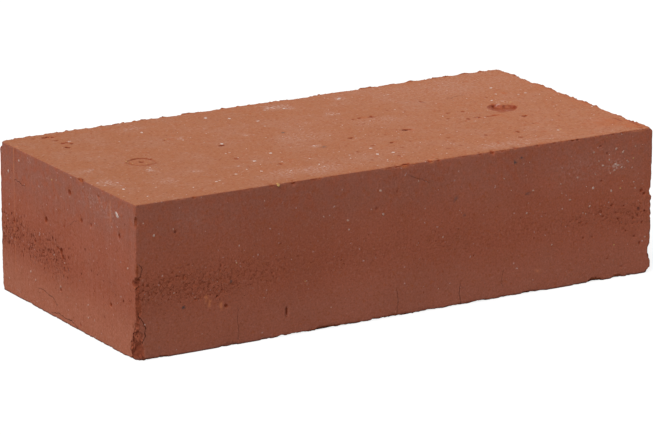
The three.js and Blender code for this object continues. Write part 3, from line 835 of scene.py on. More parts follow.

# %% [markdown]
# ## Stains
#
# Fired clay is never of one colour. Where a crumb of it smeared it is a rusty orange, dust and
# washed-out lime leave pale veils, and grains of iron leave dark grey spots. Such spots are given
# one by one, as soft patches that the net carries to the material.

# %% Soft spots
# Of each kind of stain: the side, and for each spot its place along the side's two axes, its two
# half-widths in mm and its strength.
STAINS = {
    "brown": [
        ("front", [(-124.0, 8.0, 8.0, 36.0, 1.0), (-124.4, 56.8, 3.0, 5.0, 1.0)]),
        ("left", [(-59.0, 8.0, 12.0, 22.0, 1.0), (-59.6, 30.0, 5.0, 12.0, 1.0)]),
    ],
    "rusty": [
        ("top", [
            (32.7, -12.3, 3.4, 2.6, 0.6), (26.2, 15.4, 7.0, 1.3, 0.6), (77.6, -9.5, 5.2, 1.8, 0.8),
            (69.4, -10.0, 2.6, 1.7, 0.9), (63.9, -9.5, 2.0, 1.4, 0.8), (102.3, 21.2, 2.4, 1.8, 1.0),
            (67.6, 20.0, 1.6, 1.3, 0.8), (115.3, -40.4, 6.0, 1.7, 0.7),
            (122.3, -45.4, 2.5, 4.5, 0.9), (117.8, -53.5, 6.5, 2.0, 0.8),
            (122.7, -57.4, 3.5, 2.5, 1.0), (-90.4, -1.1, 6.0, 6.0, 0.2),
            (-63.0, 25.2, 1.8, 1.3, 0.8), (-35.9, -29.8, 2.0, 1.3, 0.7),
            (-49.7, 17.0, 1.6, 0.8, 0.4), (-78.6, 53.5, 3.5, 1.6, 0.7),
            (-86.0, 54.5, 5.5, 0.9, 0.4), (-42.9, -33.1, 1.6, 1.8, 0.5),
            (-52.7, -18.1, 4.5, 1.2, 0.5), (88.6, -16.6, 2.4, 1.3, 0.6),
            (65.8, 26.5, 1.1, 2.6, 0.3), (88.2, 26.5, 9.0, 1.6, 0.2),
            (111.7, -42.9, 13.0, 11.0, 0.5), (106.0, -47.5, 9.0, 1.2, 0.5),
            (115.5, -45.0, 7.0, 0.9, 0.6), (118.0, -50.5, 6.0, 0.8, 0.9),
            (119.5, -54.0, 4.5, 0.8, 0.9), (121.0, -38.0, 0.8, 7.0, 0.6),
            (124.0, -38.0, 1.6, 22.0, 0.9), (91.7, 5.2, 2.6, 0.7, 0.5),
            (120.9, -51.9, 5.0, 7.0, 0.6), (123.1, 10.5, 2.5, 50.0, 0.45),
            (-1.8, 59.5, 120.0, 1.6, 0.4),
        ]),
        ("front", [(-106.4, 19.9, 1.2, 0.8, 0.5), (-99.8, 8.4, 25.0, 9.0, 0.15)]),
        ("left", [
            (-3.9, 57.3, 2.4, 2.2, 0.6), (-12.3, 48.3, 2.6, 1.6, 0.4), (18.0, 40.6, 2.0, 2.0, 0.5),
            (-20.2, 54.9, 1.5, 3.5, 0.3), (-38.0, 18.6, 1.8, 1.6, 0.5),
        ]),
        ("top", [
            (-105.5, 54.0, 5.0, 3.0, 0.7), (-102.8, 42.5, 3.0, 3.4, 0.4),
            (88.6, 1.2, 5.6, 5.6, 0.3),
        ]),
    ],
    "fresh": [
        ("left", [
            (SCRATCH_Y - 0.1, 57.0, 0.75, 17.0, 1.0), (SCRATCH_Y - 0.3, 30.0, 0.7, 30.0, 0.35),
            (-38.7, 57.5, 0.7, 10.0, 0.5),
        ]),
        ("front", [
            (-93.1, 22.2, 1.1, 2.4, 1.0), (-91.6, 19.4, 1.1, 2.2, 1.0),
            (-86.3, 17.6, 0.9, 2.8, 1.0), (66.6, 9.2, 1.3, 0.6, 0.8),
        ]),
        ("top", [(95.4, 2.4, 0.9, 1.4, 0.4), (87.2, 7.4, 2.6, 0.8, 0.7)]),
        ("front", [
            (0.6, 64.3, 2.6, 0.9, 1.0), (-8.0, 64.5, 4.0, 0.5, 0.7), (13.8, 64.4, 1.5, 0.9, 1.0),
            (55.0, 64.6, 1.6, 0.5, 0.6), (45.0, 64.2, 2.5, 0.6, 0.4), (118.0, 64.2, 5.0, 0.6, 0.6),
        ]),
    ],
    "pale": [
        ("top", [(-100.9, 43.0, 1.5, 1.5, 1.0)]),
        ("front", [(106.4, 50.4, 2.0, 1.6, 1.0)]),
        ("top", [
            (88.7, 4.9, 1.3, 2.4, 1.0), (90.2, 6.6, 1.6, 1.2, 0.6), (2.2, 50.4, 8.0, 4.2, 1.0),
            (7.7, 46.4, 5.0, 3.0, 0.7), (35.4, 49.4, 2.4, 3.6, 1.0), (-94.0, -14.5, 3.0, 3.8, 1.0),
            (-15.5, -15.5, 2.4, 4.0, 1.0), (-31.3, 15.0, 3.4, 2.2, 0.7),
            (18.7, 26.8, 4.5, 1.4, 0.8), (93.6, 9.6, 1.6, 1.6, 1.0), (91.1, 9.2, 0.8, 0.8, 0.8),
            (94.6, 7.3, 0.8, 0.8, 0.8), (-58.5, 24.0, 0.8, 3.6, 1.0), (-67.8, 48.1, 9.0, 5.0, 0.5),
            (-37.0, -47.1, 30.0, 9.0, 0.55), (-96.0, -34.2, 8.0, 5.0, 0.55),
            (-118.4, -24.2, 5.0, 8.0, 0.65), (-116.0, -3.0, 5.0, 3.0, 0.7),
            (-79.0, -26.0, 4.0, 1.6, 0.7), (-22.0, 30.0, 11.0, 2.2, 0.5),
            (0.5, 19.5, 4.5, 3.6, 0.45), (-12.0, 0.0, 16.0, 12.0, 0.35),
            (28.2, 8.2, 18.0, 10.0, 0.3), (80.0, 45.0, 60.0, 24.0, 0.2),
            (111.7, -37.9, 3.0, 3.0, 0.6), (58.4, -52.0, 30.0, 5.0, 0.4),
        ]),
        ("front", [
            (88.6, 50.2, 20.0, 12.0, 0.15), (105.4, 50.8, 6.0, 4.5, 0.35),
            (-99.9, 55.1, 14.0, 8.0, 0.15),
        ]),
        ("left", [
            (32.6, 62.0, 2.4, 1.6, 0.6), (43.7, 3.6, 1.6, 2.2, 0.4), (-30.0, 57.9, 24.0, 7.0, 0.3),
        ]),
    ],
    "iron": [
        ("top", [
            (-15.9, 10.5, 1.1, 1.1, 0.9), (-13.5, -18.5, 0.7, 0.6, 0.6),
            (-48.5, 5.1, 0.9, 0.7, 0.8),
        ]),
        ("front", [
            (54.8, 58.7, 0.8, 0.6, 1.0), (58.1, 60.3, 0.8, 0.6, 0.9), (25.9, 47.2, 0.8, 0.7, 0.6),
            (118.4, 29.6, 0.7, 1.0, 0.9), (-103.5, 19.8, 0.8, 0.8, 1.0),
            (-81.7, 27.2, 0.7, 0.7, 0.9),
        ]),
        ("top", [(62.8, 26.4, 1.0, 1.4, 0.6)]),
        ("front", [
            (-107.2, 51.3, 0.7, 0.7, 0.5), (30.0, 39.3, 0.7, 0.6, 0.5), (61.3, 44.2, 0.8, 0.7, 0.5),
        ]),
        ("left", [(-1.4, 23.9, 0.6, 0.6, 0.5)]),
    ],
}


def stain(points, kind):
    """How stained each point is, from 0 to 1: round patches with a cloudy rim."""
    depth = np.zeros(len(points))
    soft = 0.4 if kind == "iron" else 0.8
    for number, (side, *row) in enumerate(in_order(STAINS[kind])):
        place, half, strength = row[:2], row[2:4], row[4]
        near, away = near_side(points, side, place, half)
        rim = 1 + 0.45 * cloud(points[near], max(1.2, min(half) * 0.8), 700 + number)
        patch = smooth(0, soft, 1 - np.linalg.norm(away, axis=1) / rim)
        depth[near] = np.maximum(depth[near], strength * patch)
    return depth


stains = {kind: stain(net_points, kind) for kind in STAINS}
print("stained shares:", {kind: round(float(spots.mean()), 4) for kind, spots in stains.items()})

# %% [markdown]
# ## The mesh
#
# The points go into a mesh in metres, with the numbers that the material reads as attributes.
# The net has more faces than a plain bed needs, so Decimate takes them away where the surface
# is plain. A vertex group tells it which points it may take: the ones by a bolt mark, a hollow,
# a crack or a sharp stain have weight 0 and stay.

# %% Make the mesh and thin it
MOST_TRIANGLES = 194_000
PLAIN_HOLLOW = 0.35  # a point that looks more hollow than this stays
PLAIN_STAINS = {"rusty": 0.5, "pale": 0.6, "iron": 0.2, "fresh": 0.2}
MARK_MARGIN = 0.6


def mesh_piece(name, points, faces, fields):
    """A mesh object at the origin from points in mm, faces and named point attributes."""
    mesh = bpy.data.meshes.new(name)
    mesh.from_pydata((points * MM).tolist(), [], faces.tolist())
    for field, values in fields.items():
        attribute = mesh.attributes.new(field, "FLOAT", "POINT")
        attribute.data.foreach_set("value", np.asarray(values, dtype=np.float32))
    mesh.shade_smooth()
    piece = bpy.data.objects.new(name, mesh)
    bpy.context.scene.collection.objects.link(piece)
    return piece


fields = {"broken": broken, "hollow": hollow, "loose": net_loose}
fields |= {"crack_near": crack_near, "crack_across": crack_across} | stains
brick = mesh_piece("fired_brick", worn, net_quads, fields)

off_axis = [np.hypot(net_points[:, 0] - bolt, net_points[:, 1]) for bolt in BOLTS]
in_mark = np.minimum(*off_axis) < BOLT_RADIUS + MARK_MARGIN
in_mark &= net_points[:, 2] > HEIGHT - ON_SIDE
stained = np.any([stains[kind] > plain for kind, plain in PLAIN_STAINS.items()], axis=0)
kept = in_mark | (hollow > PLAIN_HOLLOW) | (crack_near > 0) | stained
print(f"points that stay: {np.count_nonzero(kept)}")
group = brick.vertex_groups.new(name="may go")
group.add(np.flatnonzero(~kept).tolist(), 1.0, "REPLACE")
thin = brick.modifiers.new("thin where it is plain", "DECIMATE")
thin.ratio = MOST_TRIANGLES / (2 * len(net_quads))  # a quad counts as two triangles
thin.vertex_group = group.name
thin.vertex_group_factor = 0.2
bpy.context.view_layer.objects.active = brick
bpy.ops.object.modifier_apply(modifier=thin.name)
brick.vertex_groups.clear()
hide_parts("pressed_brick")
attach(brick, "root")
print(f"fired_brick: {sum(len(face.vertices) - 2 for face in brick.data.polygons)} triangles")

# %% [markdown]
# ## Grains of lime and sand
#
# Crushed lime and sand in the clay stay pale when it is fired. They lie flush with the skin, so
# each is a flattened pebble that is sunk to its middle. All of them are one mesh: the same ball,
# a grid of longitude and latitude, is turned, squashed and moved for each grain with whole
# arrays.

# %% Scatter the grains
# Listed one by one: the side, and for each grain its place along the side's two axes and its width
# in mm.
GRAINS_BY_HAND = [
    ("top", [
        (-67.4, 41.0, 1.3), (-32.1, 48.9, 1.5), (-23.7, 43.0, 1.4), (-15.3, 33.1, 1.1),
        (-17.1, 24.1, 0.9), (-18.8, 41.2, 0.7), (-37.7, -16.3, 1.3), (-49.8, -24.0, 1.5),
        (-54.1, -7.5, 0.9), (-52.1, -7.1, 0.8), (-59.5, -27.8, 0.9), (-55.5, -39.4, 1.0),
        (-16.0, -15.0, 1.2), (-11.1, -35.5, 0.9), (-29.2, -45.6, 1.1), (-44.5, -44.5, 1.0),
        (-46.1, -46.4, 0.8), (2.5, -30.1, 1.3), (-0.1, -39.8, 1.3), (6.9, -40.7, 1.5),
        (8.9, -46.0, 0.7), (-117.3, -35.9, 1.3), (-121.7, -22.1, 1.0), (-114.5, -25.7, 0.9),
        (-66.6, -38.3, 1.2), (-79.4, -44.4, 1.1), (-77.2, -43.4, 0.9), (-82.6, 32.7, 0.8),
        (-71.6, 9.7, 0.8), (-58.5, 20.9, 1.0), (-3.3, 48.2, 1.1), (1.2, 49.9, 1.0),
        (5.4, 46.4, 1.3), (9.6, 50.4, 0.8), (34.6, 48.9, 1.3), (36.7, 51.6, 0.8), (57.1, 44.6, 0.9),
        (20.6, 34.3, 0.8), (46.4, 14.8, 0.9), (83.3, 21.5, 0.9), (90.8, 13.2, 1.3),
        (93.9, 9.9, 0.9), (98.5, 21.7, 1.0), (102.8, 32.1, 1.3), (107.0, 16.3, 0.9),
        (111.0, 16.9, 1.1), (115.1, 11.9, 0.9), (119.3, 24.6, 0.7), (87.2, -43.9, 1.1),
        (68.7, -9.4, 0.7), (36.1, -42.0, 0.8), (108.7, -8.7, 0.8), (-101.2, 42.9, 0.9),
        (-47.7, 7.1, 1.5),
    ]),
    ("front", [
        (-121.5, 57.1, 0.8), (-116.7, 51.5, 1.2), (-108.0, 52.9, 0.7), (-79.1, 34.7, 0.7),
        (-98.2, 23.1, 0.5), (-65.9, 58.7, 0.8), (-46.2, 22.0, 0.6), (-38.2, 48.2, 0.7),
        (-26.6, 45.0, 0.9), (-26.1, 41.0, 1.0), (-11.1, 55.5, 1.0), (-9.7, 45.2, 1.1),
        (-34.6, 9.0, 0.6), (53.1, 46.8, 0.6), (62.2, 57.7, 0.7), (64.2, 45.2, 0.9),
        (61.1, 35.7, 0.9), (73.9, 19.9, 0.8), (82.9, 38.5, 0.9), (78.7, 41.9, 0.7),
        (86.6, 47.8, 0.9), (106.3, 57.9, 1.0), (109.9, 56.0, 1.0), (102.8, 53.5, 1.0),
        (106.2, 50.9, 1.2), (107.4, 50.4, 1.1), (109.3, 49.2, 1.0), (99.5, 51.3, 1.0),
        (105.4, 48.5, 1.0), (103.4, 47.4, 0.8), (112.0, 51.9, 0.8), (116.2, 57.7, 0.7),
        (94.8, 57.8, 0.9), (97.5, 53.6, 0.7), (109.7, 43.1, 0.6), (104.0, 39.5, 1.1),
        (94.6, 42.0, 1.3), (116.4, 39.1, 0.8), (117.9, 45.5, 0.5), (109.6, 24.7, 0.4),
        (93.0, 34.2, 1.0), (89.6, 31.6, 0.8), (91.0, 31.2, 0.8), (122.0, 16.5, 0.8),
    ]),
    ("left", [(42.0, 60.3, 1.2), (52.2, 53.5, 1.3), (-44.6, 57.5, 2.1), (8.1, 59.7, 0.8)]),
    ("top", [
        (16.2, 10.3, 0.6), (24.8, -2.8, 0.8), (45.9, 20.7, 0.9), (25.3, -15.4, 0.7),
        (22.5, -20.0, 0.6), (12.4, -9.7, 0.7), (7.2, -25.9, 0.7), (2.4, -35.3, 0.7),
        (10.7, -36.7, 0.7), (10.2, -42.8, 0.6), (13.9, -45.0, 0.6), (35.5, -40.4, 0.8),
        (47.4, -18.3, 0.7), (42.9, -19.2, 0.6), (55.4, -6.5, 0.6), (42.0, -40.1, 0.6),
        (38.1, -49.5, 0.7), (44.2, -10.1, 0.6), (32.2, -16.3, 0.6), (-0.1, -26.5, 0.6),
        (-11.8, -28.2, 0.6), (-14.6, -28.5, 0.6), (-5.9, -34.5, 0.6), (-4.2, -36.6, 0.6),
    ]),
    ("left", [
        (-53.2, 37.4, 0.9), (33.0, 14.5, 1.0), (28.6, 12.0, 0.9), (5.6, 14.9, 0.8),
        (-18.5, 7.8, 0.8),
    ]),
]
# The yellow ones among them.
YELLOW_GRAINS = [
    ("top", [
        (BOLTS[0] - 5.2, 2.3, 0.8), (BOLTS[0] - 5.5, 0.6, 0.8), (BOLTS[0] - 4.5, -2.0, 0.6),
        (BOLTS[0] + 0.3, -5.0, 0.5), (89.0, -43.0, 1.0), (-64.0, 26.0, 0.7),
    ]),
    ("front", [(-79.0, 34.6, 0.7), (-47.0, 22.0, 0.6), (-59.6, 64.7, 1.6)]),
    ("top", [(96.3, 6.5, 1.0)]),
    ("left", [(12.0, 59.0, 0.7)]),
    ("front", [(115.2, 52.5, 0.7), (101.3, 63.6, 0.6), (108.7, 40.0, 0.7), (106.0, 15.1, 0.7)]),
]
# How many more each side gets by chance.
SCATTERED = {"top": 300, "front": 50, "left": 16, "rear": 80, "right": 30, "bottom": 200}
FRONT_SHRINK = 0.92  # of the listed widths on the front side
rng = np.random.default_rng(2504)


def side_point(side, places):
    """Points of the sharp block from places along a side's two axes."""
    axis, sign = SIDES[side]
    points = np.empty((len(places), 3))
    points[:, others(axis)] = places
    points[:, axis] = MIDDLE[axis] + sign * HALF[axis]
    return points


def scattered_grains():
    """Chance places on every side, thick in some clouds and rare between them, and chance
    widths in mm: many small ones and few large. The upper bed has most near its front, and the
    left bolt mark stays free of them."""
    starts, widths = [], []
    for side, count in SCATTERED.items():
        axes = others(SIDES[side][0])
        span = 2 * (HALF[axes] - 2)
        tries = side_point(side, MIDDLE[axes] + (rng.random((6 * count, 2)) - 0.5) * span)
        wanted = smooth(-0.5, 0.7, cloud(tries, 24.0, 91) + 0.5 * cloud(tries, 7.0, 92))
        if side == "top":
            off_mark = np.hypot(tries[:, 0] - BOLTS[0], tries[:, 1] - IMPRINT_MIDDLE[1])
            wanted *= smooth(7, 9, off_mark)
            wanted *= 0.6 + 0.4 * smooth(10, -40, tries[:, 1]) * smooth(110, -20, tries[:, 0])
        if side == "front":
            wanted *= 0.1 + 0.9 * smooth(40, 90, tries[:, 0]) * smooth(25, 45, tries[:, 2])
        chosen = tries[np.argsort(rng.random(len(tries)) ** (1 / (wanted + 1e-3)))[-count:]]
        starts.append(chosen)
        widths.append(0.28 + 0.55 * rng.random(count) ** 3)
    return starts, widths


def unit_ball(around, up):
    """Points and faces of a unit ball: rings of (sin b cos a, sin b sin a, cos b), with one
    point at each pole."""
    a = np.linspace(0, 2 * np.pi, around, endpoint=False)
    b = np.linspace(0, np.pi, up + 2)[1:-1]
    turn, lean = np.meshgrid(a, b)
    rings = np.stack([np.sin(lean) * np.cos(turn), np.sin(lean) * np.sin(turn), np.cos(lean)], -1)
    points = np.concatenate([rings.reshape(-1, 3), [[0, 0, 1], [0, 0, -1]]])
    column = np.arange(around)
    following = (column + 1) % around
    faces = []
    for row in range(up - 1):
        here, below = row * around, (row + 1) * around
        faces.append(np.stack([here + column, below + column, below + following], 1))
        faces.append(np.stack([here + column, below + following, here + following], 1))
    last = (up - 1) * around
    north, south = np.full(around, up * around), np.full(around, up * around + 1)
    faces.append(np.stack([column, following, north], 1))
    faces.append(np.stack([last + following, last + column, south], 1))
    return points, np.concatenate(faces)


lime_rows, yellow_rows = in_order(GRAINS_BY_HAND), in_order(YELLOW_GRAINS)
by_hand = lime_rows + yellow_rows
hand_widths = [width * (FRONT_SHRINK if side == "front" else 1) for side, _, _, width in by_hand]
hand_starts = [side_point(side, np.array([[first, second]])) for side, first, second, _ in by_hand]
chance_starts, chance_widths = scattered_grains()
grain_starts = np.concatenate(hand_starts + chance_starts)
grain_widths = np.concatenate([hand_widths, *chance_widths])
grain_places, _, _ = sculpt(grain_starts)

ball, ball_faces = unit_ball(8, 3)
count = len(grain_places)
up = outward(grain_starts)
sideways = np.cross(up, rng.normal(size=(count, 3)))
sideways /= np.linalg.norm(sideways, axis=1, keepdims=True)
across = np.cross(up, sideways)
long_radius = grain_widths / 2 * (1 + 0.7 * rng.random(count))
rise = 0.05 + 0.03 * grain_widths
shaped = ball * (1 + 0.6 * (rng.random((count, len(ball), 1)) - 0.5))
grain_points = (
    grain_places[:, None]
    - 0.2 * rise[:, None, None] * up[:, None]
    + shaped[:, :, :1] * (long_radius[:, None] * sideways)[:, None]
    + shaped[:, :, 1:2] * (grain_widths[:, None] / 2 * across)[:, None]
    + shaped[:, :, 2:] * (rise[:, None] * up)[:, None]
)
grain_faces = ball_faces + len(ball) * np.arange(count)[:, None, None]

# A grain's tint is 0 where it is dusty and 0.9 where it is white, and 1 for the yellow ones.
tint = 0.9 * rng.random(count) ** 2
tint[: len(lime_rows)] = np.clip(grain_widths[: len(lime_rows)] - 0.5, 0.1, 0.9)
tint *= np.where(grain_starts[:, 2] > HEIGHT - 1, 1, 0.62)
tint[len(lime_rows) : len(by_hand)] = 1.0
tint = {"tint": np.repeat(tint, len(ball))}
grains = mesh_piece("lime_grains", grain_points.reshape(-1, 3), grain_faces.reshape(-1, 3), tint)
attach(grains, "root")
print(f"lime_grains: {count} grains, {len(grains.data.polygons)} triangles")

# %% [markdown]
# ## Materials
#
# The pressed skin is terracotta: fired clay, matt, red from its iron. It is built from the
# large to the small, as coats of colour one over another. Clouds of two reds are how the fire
# reached it, drag lines run down the sides, grains darken and lighten it, and the upper bed is
# paler and yellower than the sides. Where the skin is broken the clay is redder and rougher,
# because no dust and no polish from the mould are on it. Some coats are painted light and shade:
# the crevices, hollows and foot are painted darker, and the brick is painted lighter towards its
# right.
#
# Each pattern is given its real size in millimetres. Object coordinates are in metres, so a
# noise of that size has a scale of 1000 divided by it. A share is a number from 0 to 1 that
# says where a coat lies.


# %% Colours and nodes
def linear(hex_colour):
    """An sRGB hex colour as linear red, green, blue and alpha."""
    parts = [int(hex_colour[i : i + 2], 16) / 255 for i in (1, 3, 5)]
    return [c / 12.92 if c <= 0.04045 else ((c + 0.055) / 1.055) ** 2.4 for c in parts] + [1.0]


def add(tree, kind, inputs=None, **settings):
    """Adds one node. Inputs go by a socket's name or place, and each is a value, a hex colour, a
    socket to link from, or a node, which stands for its first output."""
    node = tree.nodes.new("ShaderNode" + kind)
    for name, value in settings.items():
        setattr(node, name, value)
    for socket, value in (inputs or {}).items():
        if isinstance(value, bpy.types.Node):
            value = value.outputs[0]
        if isinstance(value, bpy.types.NodeSocket):
            tree.links.new(value, node.inputs[socket])
        else:
            node.inputs[socket].default_value = linear(value) if isinstance(value, str) else value
    return node


def per_mm(size):
    """The scale of a texture in object space whose features are this many millimetres."""
    return 1 / (size * MM)


def new_material(name):
    """An empty material and its node tree."""
    material = bpy.data.materials.new(name)
    material.use_nodes = True
    material.node_tree.nodes.clear()
    return material, material.node_tree


# The places of the sockets of a Mix node that mixes colours.
SHARE, UNDER, OVER, MIXED = 0, 6, 7, 2

# %% [markdown]
# ## Worksheets for fired clay
#
# Some two hundred nodes make this clay, and most are alike: a noise, a step, a sum, a coat. So
# they are written down as worksheets, and a loop goes through the rows and adds their nodes.
# First come the clouds of noise, then the shares worked out from them, and then the coats of
# colour, each with the shares that say where it lies. A name stands for what an earlier row
# made, so a row can also change what its own name stood for.

# %% Clouds and shares of the clay
# Clouds, from the large to the small: name, size in mm, detail, and how much longer than wide.
CLAY_CLOUDS = [
    ("fire", 34.0, 3, 1), ("veil", 16.0, 5, 1), ("crowds", 13.0, 3, 1), ("ochre", 3.6, 4, 1),
    ("dust", 3.4, 4, 1), ("orange", 2.6, 3, 1), ("lumps", 1.5, 4, 1), ("loosened", 1.4, 2, 1),
    ("russet", 1.3, 3, 1), ("chalk", 1.2, 4, 1), ("torn", 1.2, 3, 1), ("pits", 1.2, 2, 1),
    ("drag", 1.1, 2, 26), ("grit", 0.8, 3, 1), ("tooth", 0.6, 3, 1),
]
# Shares: name, operation, and what goes in. RISE goes smoothly from 0 where a number is at the
# first level to 1 where it is at the second, which may be the lower one.
CLAY_SHARES = [
    # Which way the surface faces and how high it lies.
    ("bed", "RISE", "up", 0.5, 0.9),
    ("upright", "SUBTRACT", 1.0, "bed"),
    ("calm", "MULTIPLY_ADD", "upright", -0.42, 1.0),
    ("high", "RISE", "z", 0.036, 0.058),
    ("high", "MULTIPLY", "high", "upright"),
    ("low", "RISE", "z", 0.026, 0.006),
    ("low", "MULTIPLY", "low", "upright"),
    # Painted shade: the lowest millimetre of the brick is painted dark, as the shade along its
    # foot.
    ("damp foot", "RISE", "z", 0.0011, 0.0002),
    # The pressed skin.
    ("lighter fire", "RISE", "fire", 0.35, 0.65),
    ("veiled", "RISE", "veil", 0.42, 0.68),
    ("dusty", "RISE", "dust", 0.36, 0.56),
    ("rubbed", "MULTIPLY_ADD", "endward", 0.2, 0.32),
    ("ochre grains", "RISE", "ochre", 0.48, 0.68),
    ("russet grains", "RISE", "russet", 0.5, 0.68),
    ("orange grains", "RISE", "orange", 0.6, 0.68),
    ("pale grains", "RISE", "lumps", 0.54, 0.72),
    ("pale drag", "RISE", "drag", 0.5, 0.75),
    ("dark drag", "RISE", "drag", 0.48, 0.28),
    ("drawn", "MULTIPLY_ADD", "endward", 0.12, 0.04),
    ("chalky", "RISE", "chalk", 0.46, 0.6),
    # Broken clay. Where the brown stain lies on it, it is one brown, lighter from about 4 to 15 mm
    # up.
    ("torn grains", "RISE", "torn", 0.4, 0.6),
    ("over its foot", "RISE", "z", 0.003, 0.006),
    ("under its top", "RISE", "z", 0.016, 0.013),
    ("rough", "ADD", "loose", "broken"),
    ("rough", "MINIMUM", "rough", 1.0),
    # Crevices: pits in broken clay, gaps between the crumbs and holes where grains fell out.
    ("pit", "RISE", "pits", 0.56, 0.66),
    ("pit", "MULTIPLY", "pit", "broken"),
    ("pit", "MULTIPLY", "pit", 0.6),
    ("loosened", "RISE", "loosened", 0.46, 0.58),
    ("gap", "RISE", "crumb edge", 0.15, 0.02),
    ("gap", "MULTIPLY", "gap", "loosened"),
    ("gap", "MULTIPLY", "gap", "rough"),
    ("gap", "MULTIPLY", "gap", 0.85),
    ("chosen", "SUBTRACT", "loose", "fallen green"),
    ("chosen", "RISE", "chosen", -0.1, 0.1),
    ("size", "MULTIPLY_ADD", "fallen red", 0.18, 0.12),
    ("size", "MULTIPLY_ADD", "endward", 0.04, "size"),
    ("hole", "SUBTRACT", "size", "fallen"),
    ("hole", "RISE", "hole", -0.04, 0.05),
    ("hole", "MULTIPLY", "hole", "chosen"),
    ("plain", "MULTIPLY", "brown", "broken"),
    ("plain", "MULTIPLY_ADD", "plain", -0.7, 1.0),
    ("crevice", "MAXIMUM", "pit", "gap"),
    ("crevice", "MAXIMUM", "crevice", "hole"),
    ("crevice", "MULTIPLY", "crevice", "plain"),
    # Painted shade: the crevices are painted darkest on the sides that face the soft box, the upper
    # bed and the left end.
    ("deep side", "MAXIMUM", "endward", "bed"),
    # Painted shade in the hollows, darker where they are deep.
    ("any hollow", "MINIMUM", "hollow", 1.0),
    ("deep hollow", "RISE", "hollow", 1.0, MOST_HOLLOW),
    # Hairline cracks: a line where the signed distance passes zero, which wanders a little.
    ("crack", "MULTIPLY_ADD", "torn", 1.5, "crack_across"),
    ("crack", "SUBTRACT", "crack", 0.75),
    ("crack", "ABSOLUTE", "crack"),
    ("crack", "RISE", "crack", 0.18, 0.04),
    ("crack", "MULTIPLY", "crack", "crack_near"),
    # Specks of lime, clay and iron, which crowd in some places.
    ("crowd", "RISE", "crowds", 0.5, 0.66),
    ("crowd", "MULTIPLY", "crowd", 0.5),
    ("crowd", "MAXIMUM", "crowd", "pale"),
    ("few", "MULTIPLY_ADD", "crowd", 0.5, "spot red"),
    ("few", "RISE", "few", 0.93, 1.0),
    ("lime speck", "RISE", "spot", 0.24, 0.05),
    ("clay speck", "RISE", "spot", 0.28, 0.08),
    ("some", "RISE", "spot green", 0.7, 0.82),
    ("clay speck", "MULTIPLY", "clay speck", "some"),
    ("clay speck", "MULTIPLY", "clay speck", "calm"),
    ("iron speck", "RISE", "spot", 0.16, 0.05),
    ("fewest", "RISE", "spot blue", 0.91, 0.93),
    # The height of the bump.
    ("strength", "MULTIPLY_ADD", "upright", 0.25, 0.4),
    ("height", "MULTIPLY", "tooth", "strength"),
    ("bulge", "MULTIPLY", "lumps", "rough"),
    ("height", "MULTIPLY_ADD", "bulge", 1.6, "height"),
    ("ridge", "MULTIPLY", "pale drag", "upright"),
    ("height", "MULTIPLY_ADD", "ridge", 0.07, "height"),
    ("height", "MULTIPLY_ADD", "crevice", -0.7, "height"),
    ("height", "MULTIPLY_ADD", "clay speck", -0.5, "height"),
    ("height", "MULTIPLY_ADD", "crack", -2.5, "height"),
    # Fine grit, drawn at 0.8 mm because real grit is too fine to show.
    ("grit", "SUBTRACT", "grit", 0.5),
    ("strength", "MULTIPLY_ADD", "upright", 0.3, 0.5),
    ("grit", "MULTIPLY", "grit", "strength"),
    # Painted light: how much lighter the brick is painted from its left to its right.
    ("lighter", "MAXIMUM", "rightward", "endward"),
]

# %% Coats of the clay
# Each paint: its ground, and its coats from the first to the last. A coat is a colour or an
# earlier paint, and the shares that are multiplied to say how much it covers.
CLAY_PAINTS = {
    "fresh scoop": ("#843E28", [("#A3543A", "over its foot", "under its top")]),
    # Broken clay is redder than the skin and painted darker as well, partly a painted shade for the
    # small shadows of its rough face.
    "torn clay": ("#823A20", [("#A8562F", "torn grains"), ("fresh scoop", "brown", 0.9)]),
    # Painted shade in the crevices: dark red, darker still on the sides that face the lamp.
    "bottom of a crevice": ("#7C3820", [("#5E1E0A", "deep side")]),
    "skin": ("#A5583F", [
        ("#A0533A", "lighter fire"),
        ("#A16640", "bed", 0.66),
        ("#B08470", "veiled", "bed", 0.15),
        ("#94604C", "veiled", "upright", 0.14),
        ("#96604F", "high", "dusty", "rubbed"),
        ("#B86A49", "low", "endward", 0.5),
        ("#A66C58", "low", 0.2),
        ("#98482D", "loose", 0.26),
        ("#99502C", "ochre grains", "calm", 0.28),
        ("#944626", "russet grains", "calm", 0.55),
        ("#A24E28", "orange grains", "calm", 0.5),
        ("#BC8A74", "pale grains", "calm", 0.34),
        ("#B0705A", "pale drag", "upright", "drawn"),
        ("#8A442C", "dark drag", "upright", "drawn"),
        ("#CBA593", "pale", "chalky", 0.65),
        ("#A5522A", "rusty", 0.75),
        ("#C9744A", "fresh", 0.75),
        ("#44423F", "iron", 0.9),
        ("torn clay", "broken", 0.9),
        # Painted shade in the crevices.
        ("bottom of a crevice", "crevice", 0.85),
        # Painted shade in the hollows: dark red, and darker where they are deep.
        ("#82341A", "any hollow", "plain", 0.9),
        ("#542010", "deep hollow", 0.8),
        ("#451D10", "crack", 0.9),
        ("#C8A99C", "lime speck", "few", 0.65),
        ("#8A3A18", "clay speck", 0.85),
        ("#62402F", "iron speck", "fewest", 0.7),
        # Painted shade along the foot of the brick.
        ("#3A2A26", "damp foot", 0.6),
    ]),
}
print(f"{len(CLAY_CLOUDS)} clouds, {len(CLAY_SHARES)} steps, {len(CLAY_PAINTS['skin'][1])} coats")

# %% Fired clay
BUMP_HEIGHT = 0.16  # mm
SWIRL = 2.2  # mm by which the borders of the crumbs wander


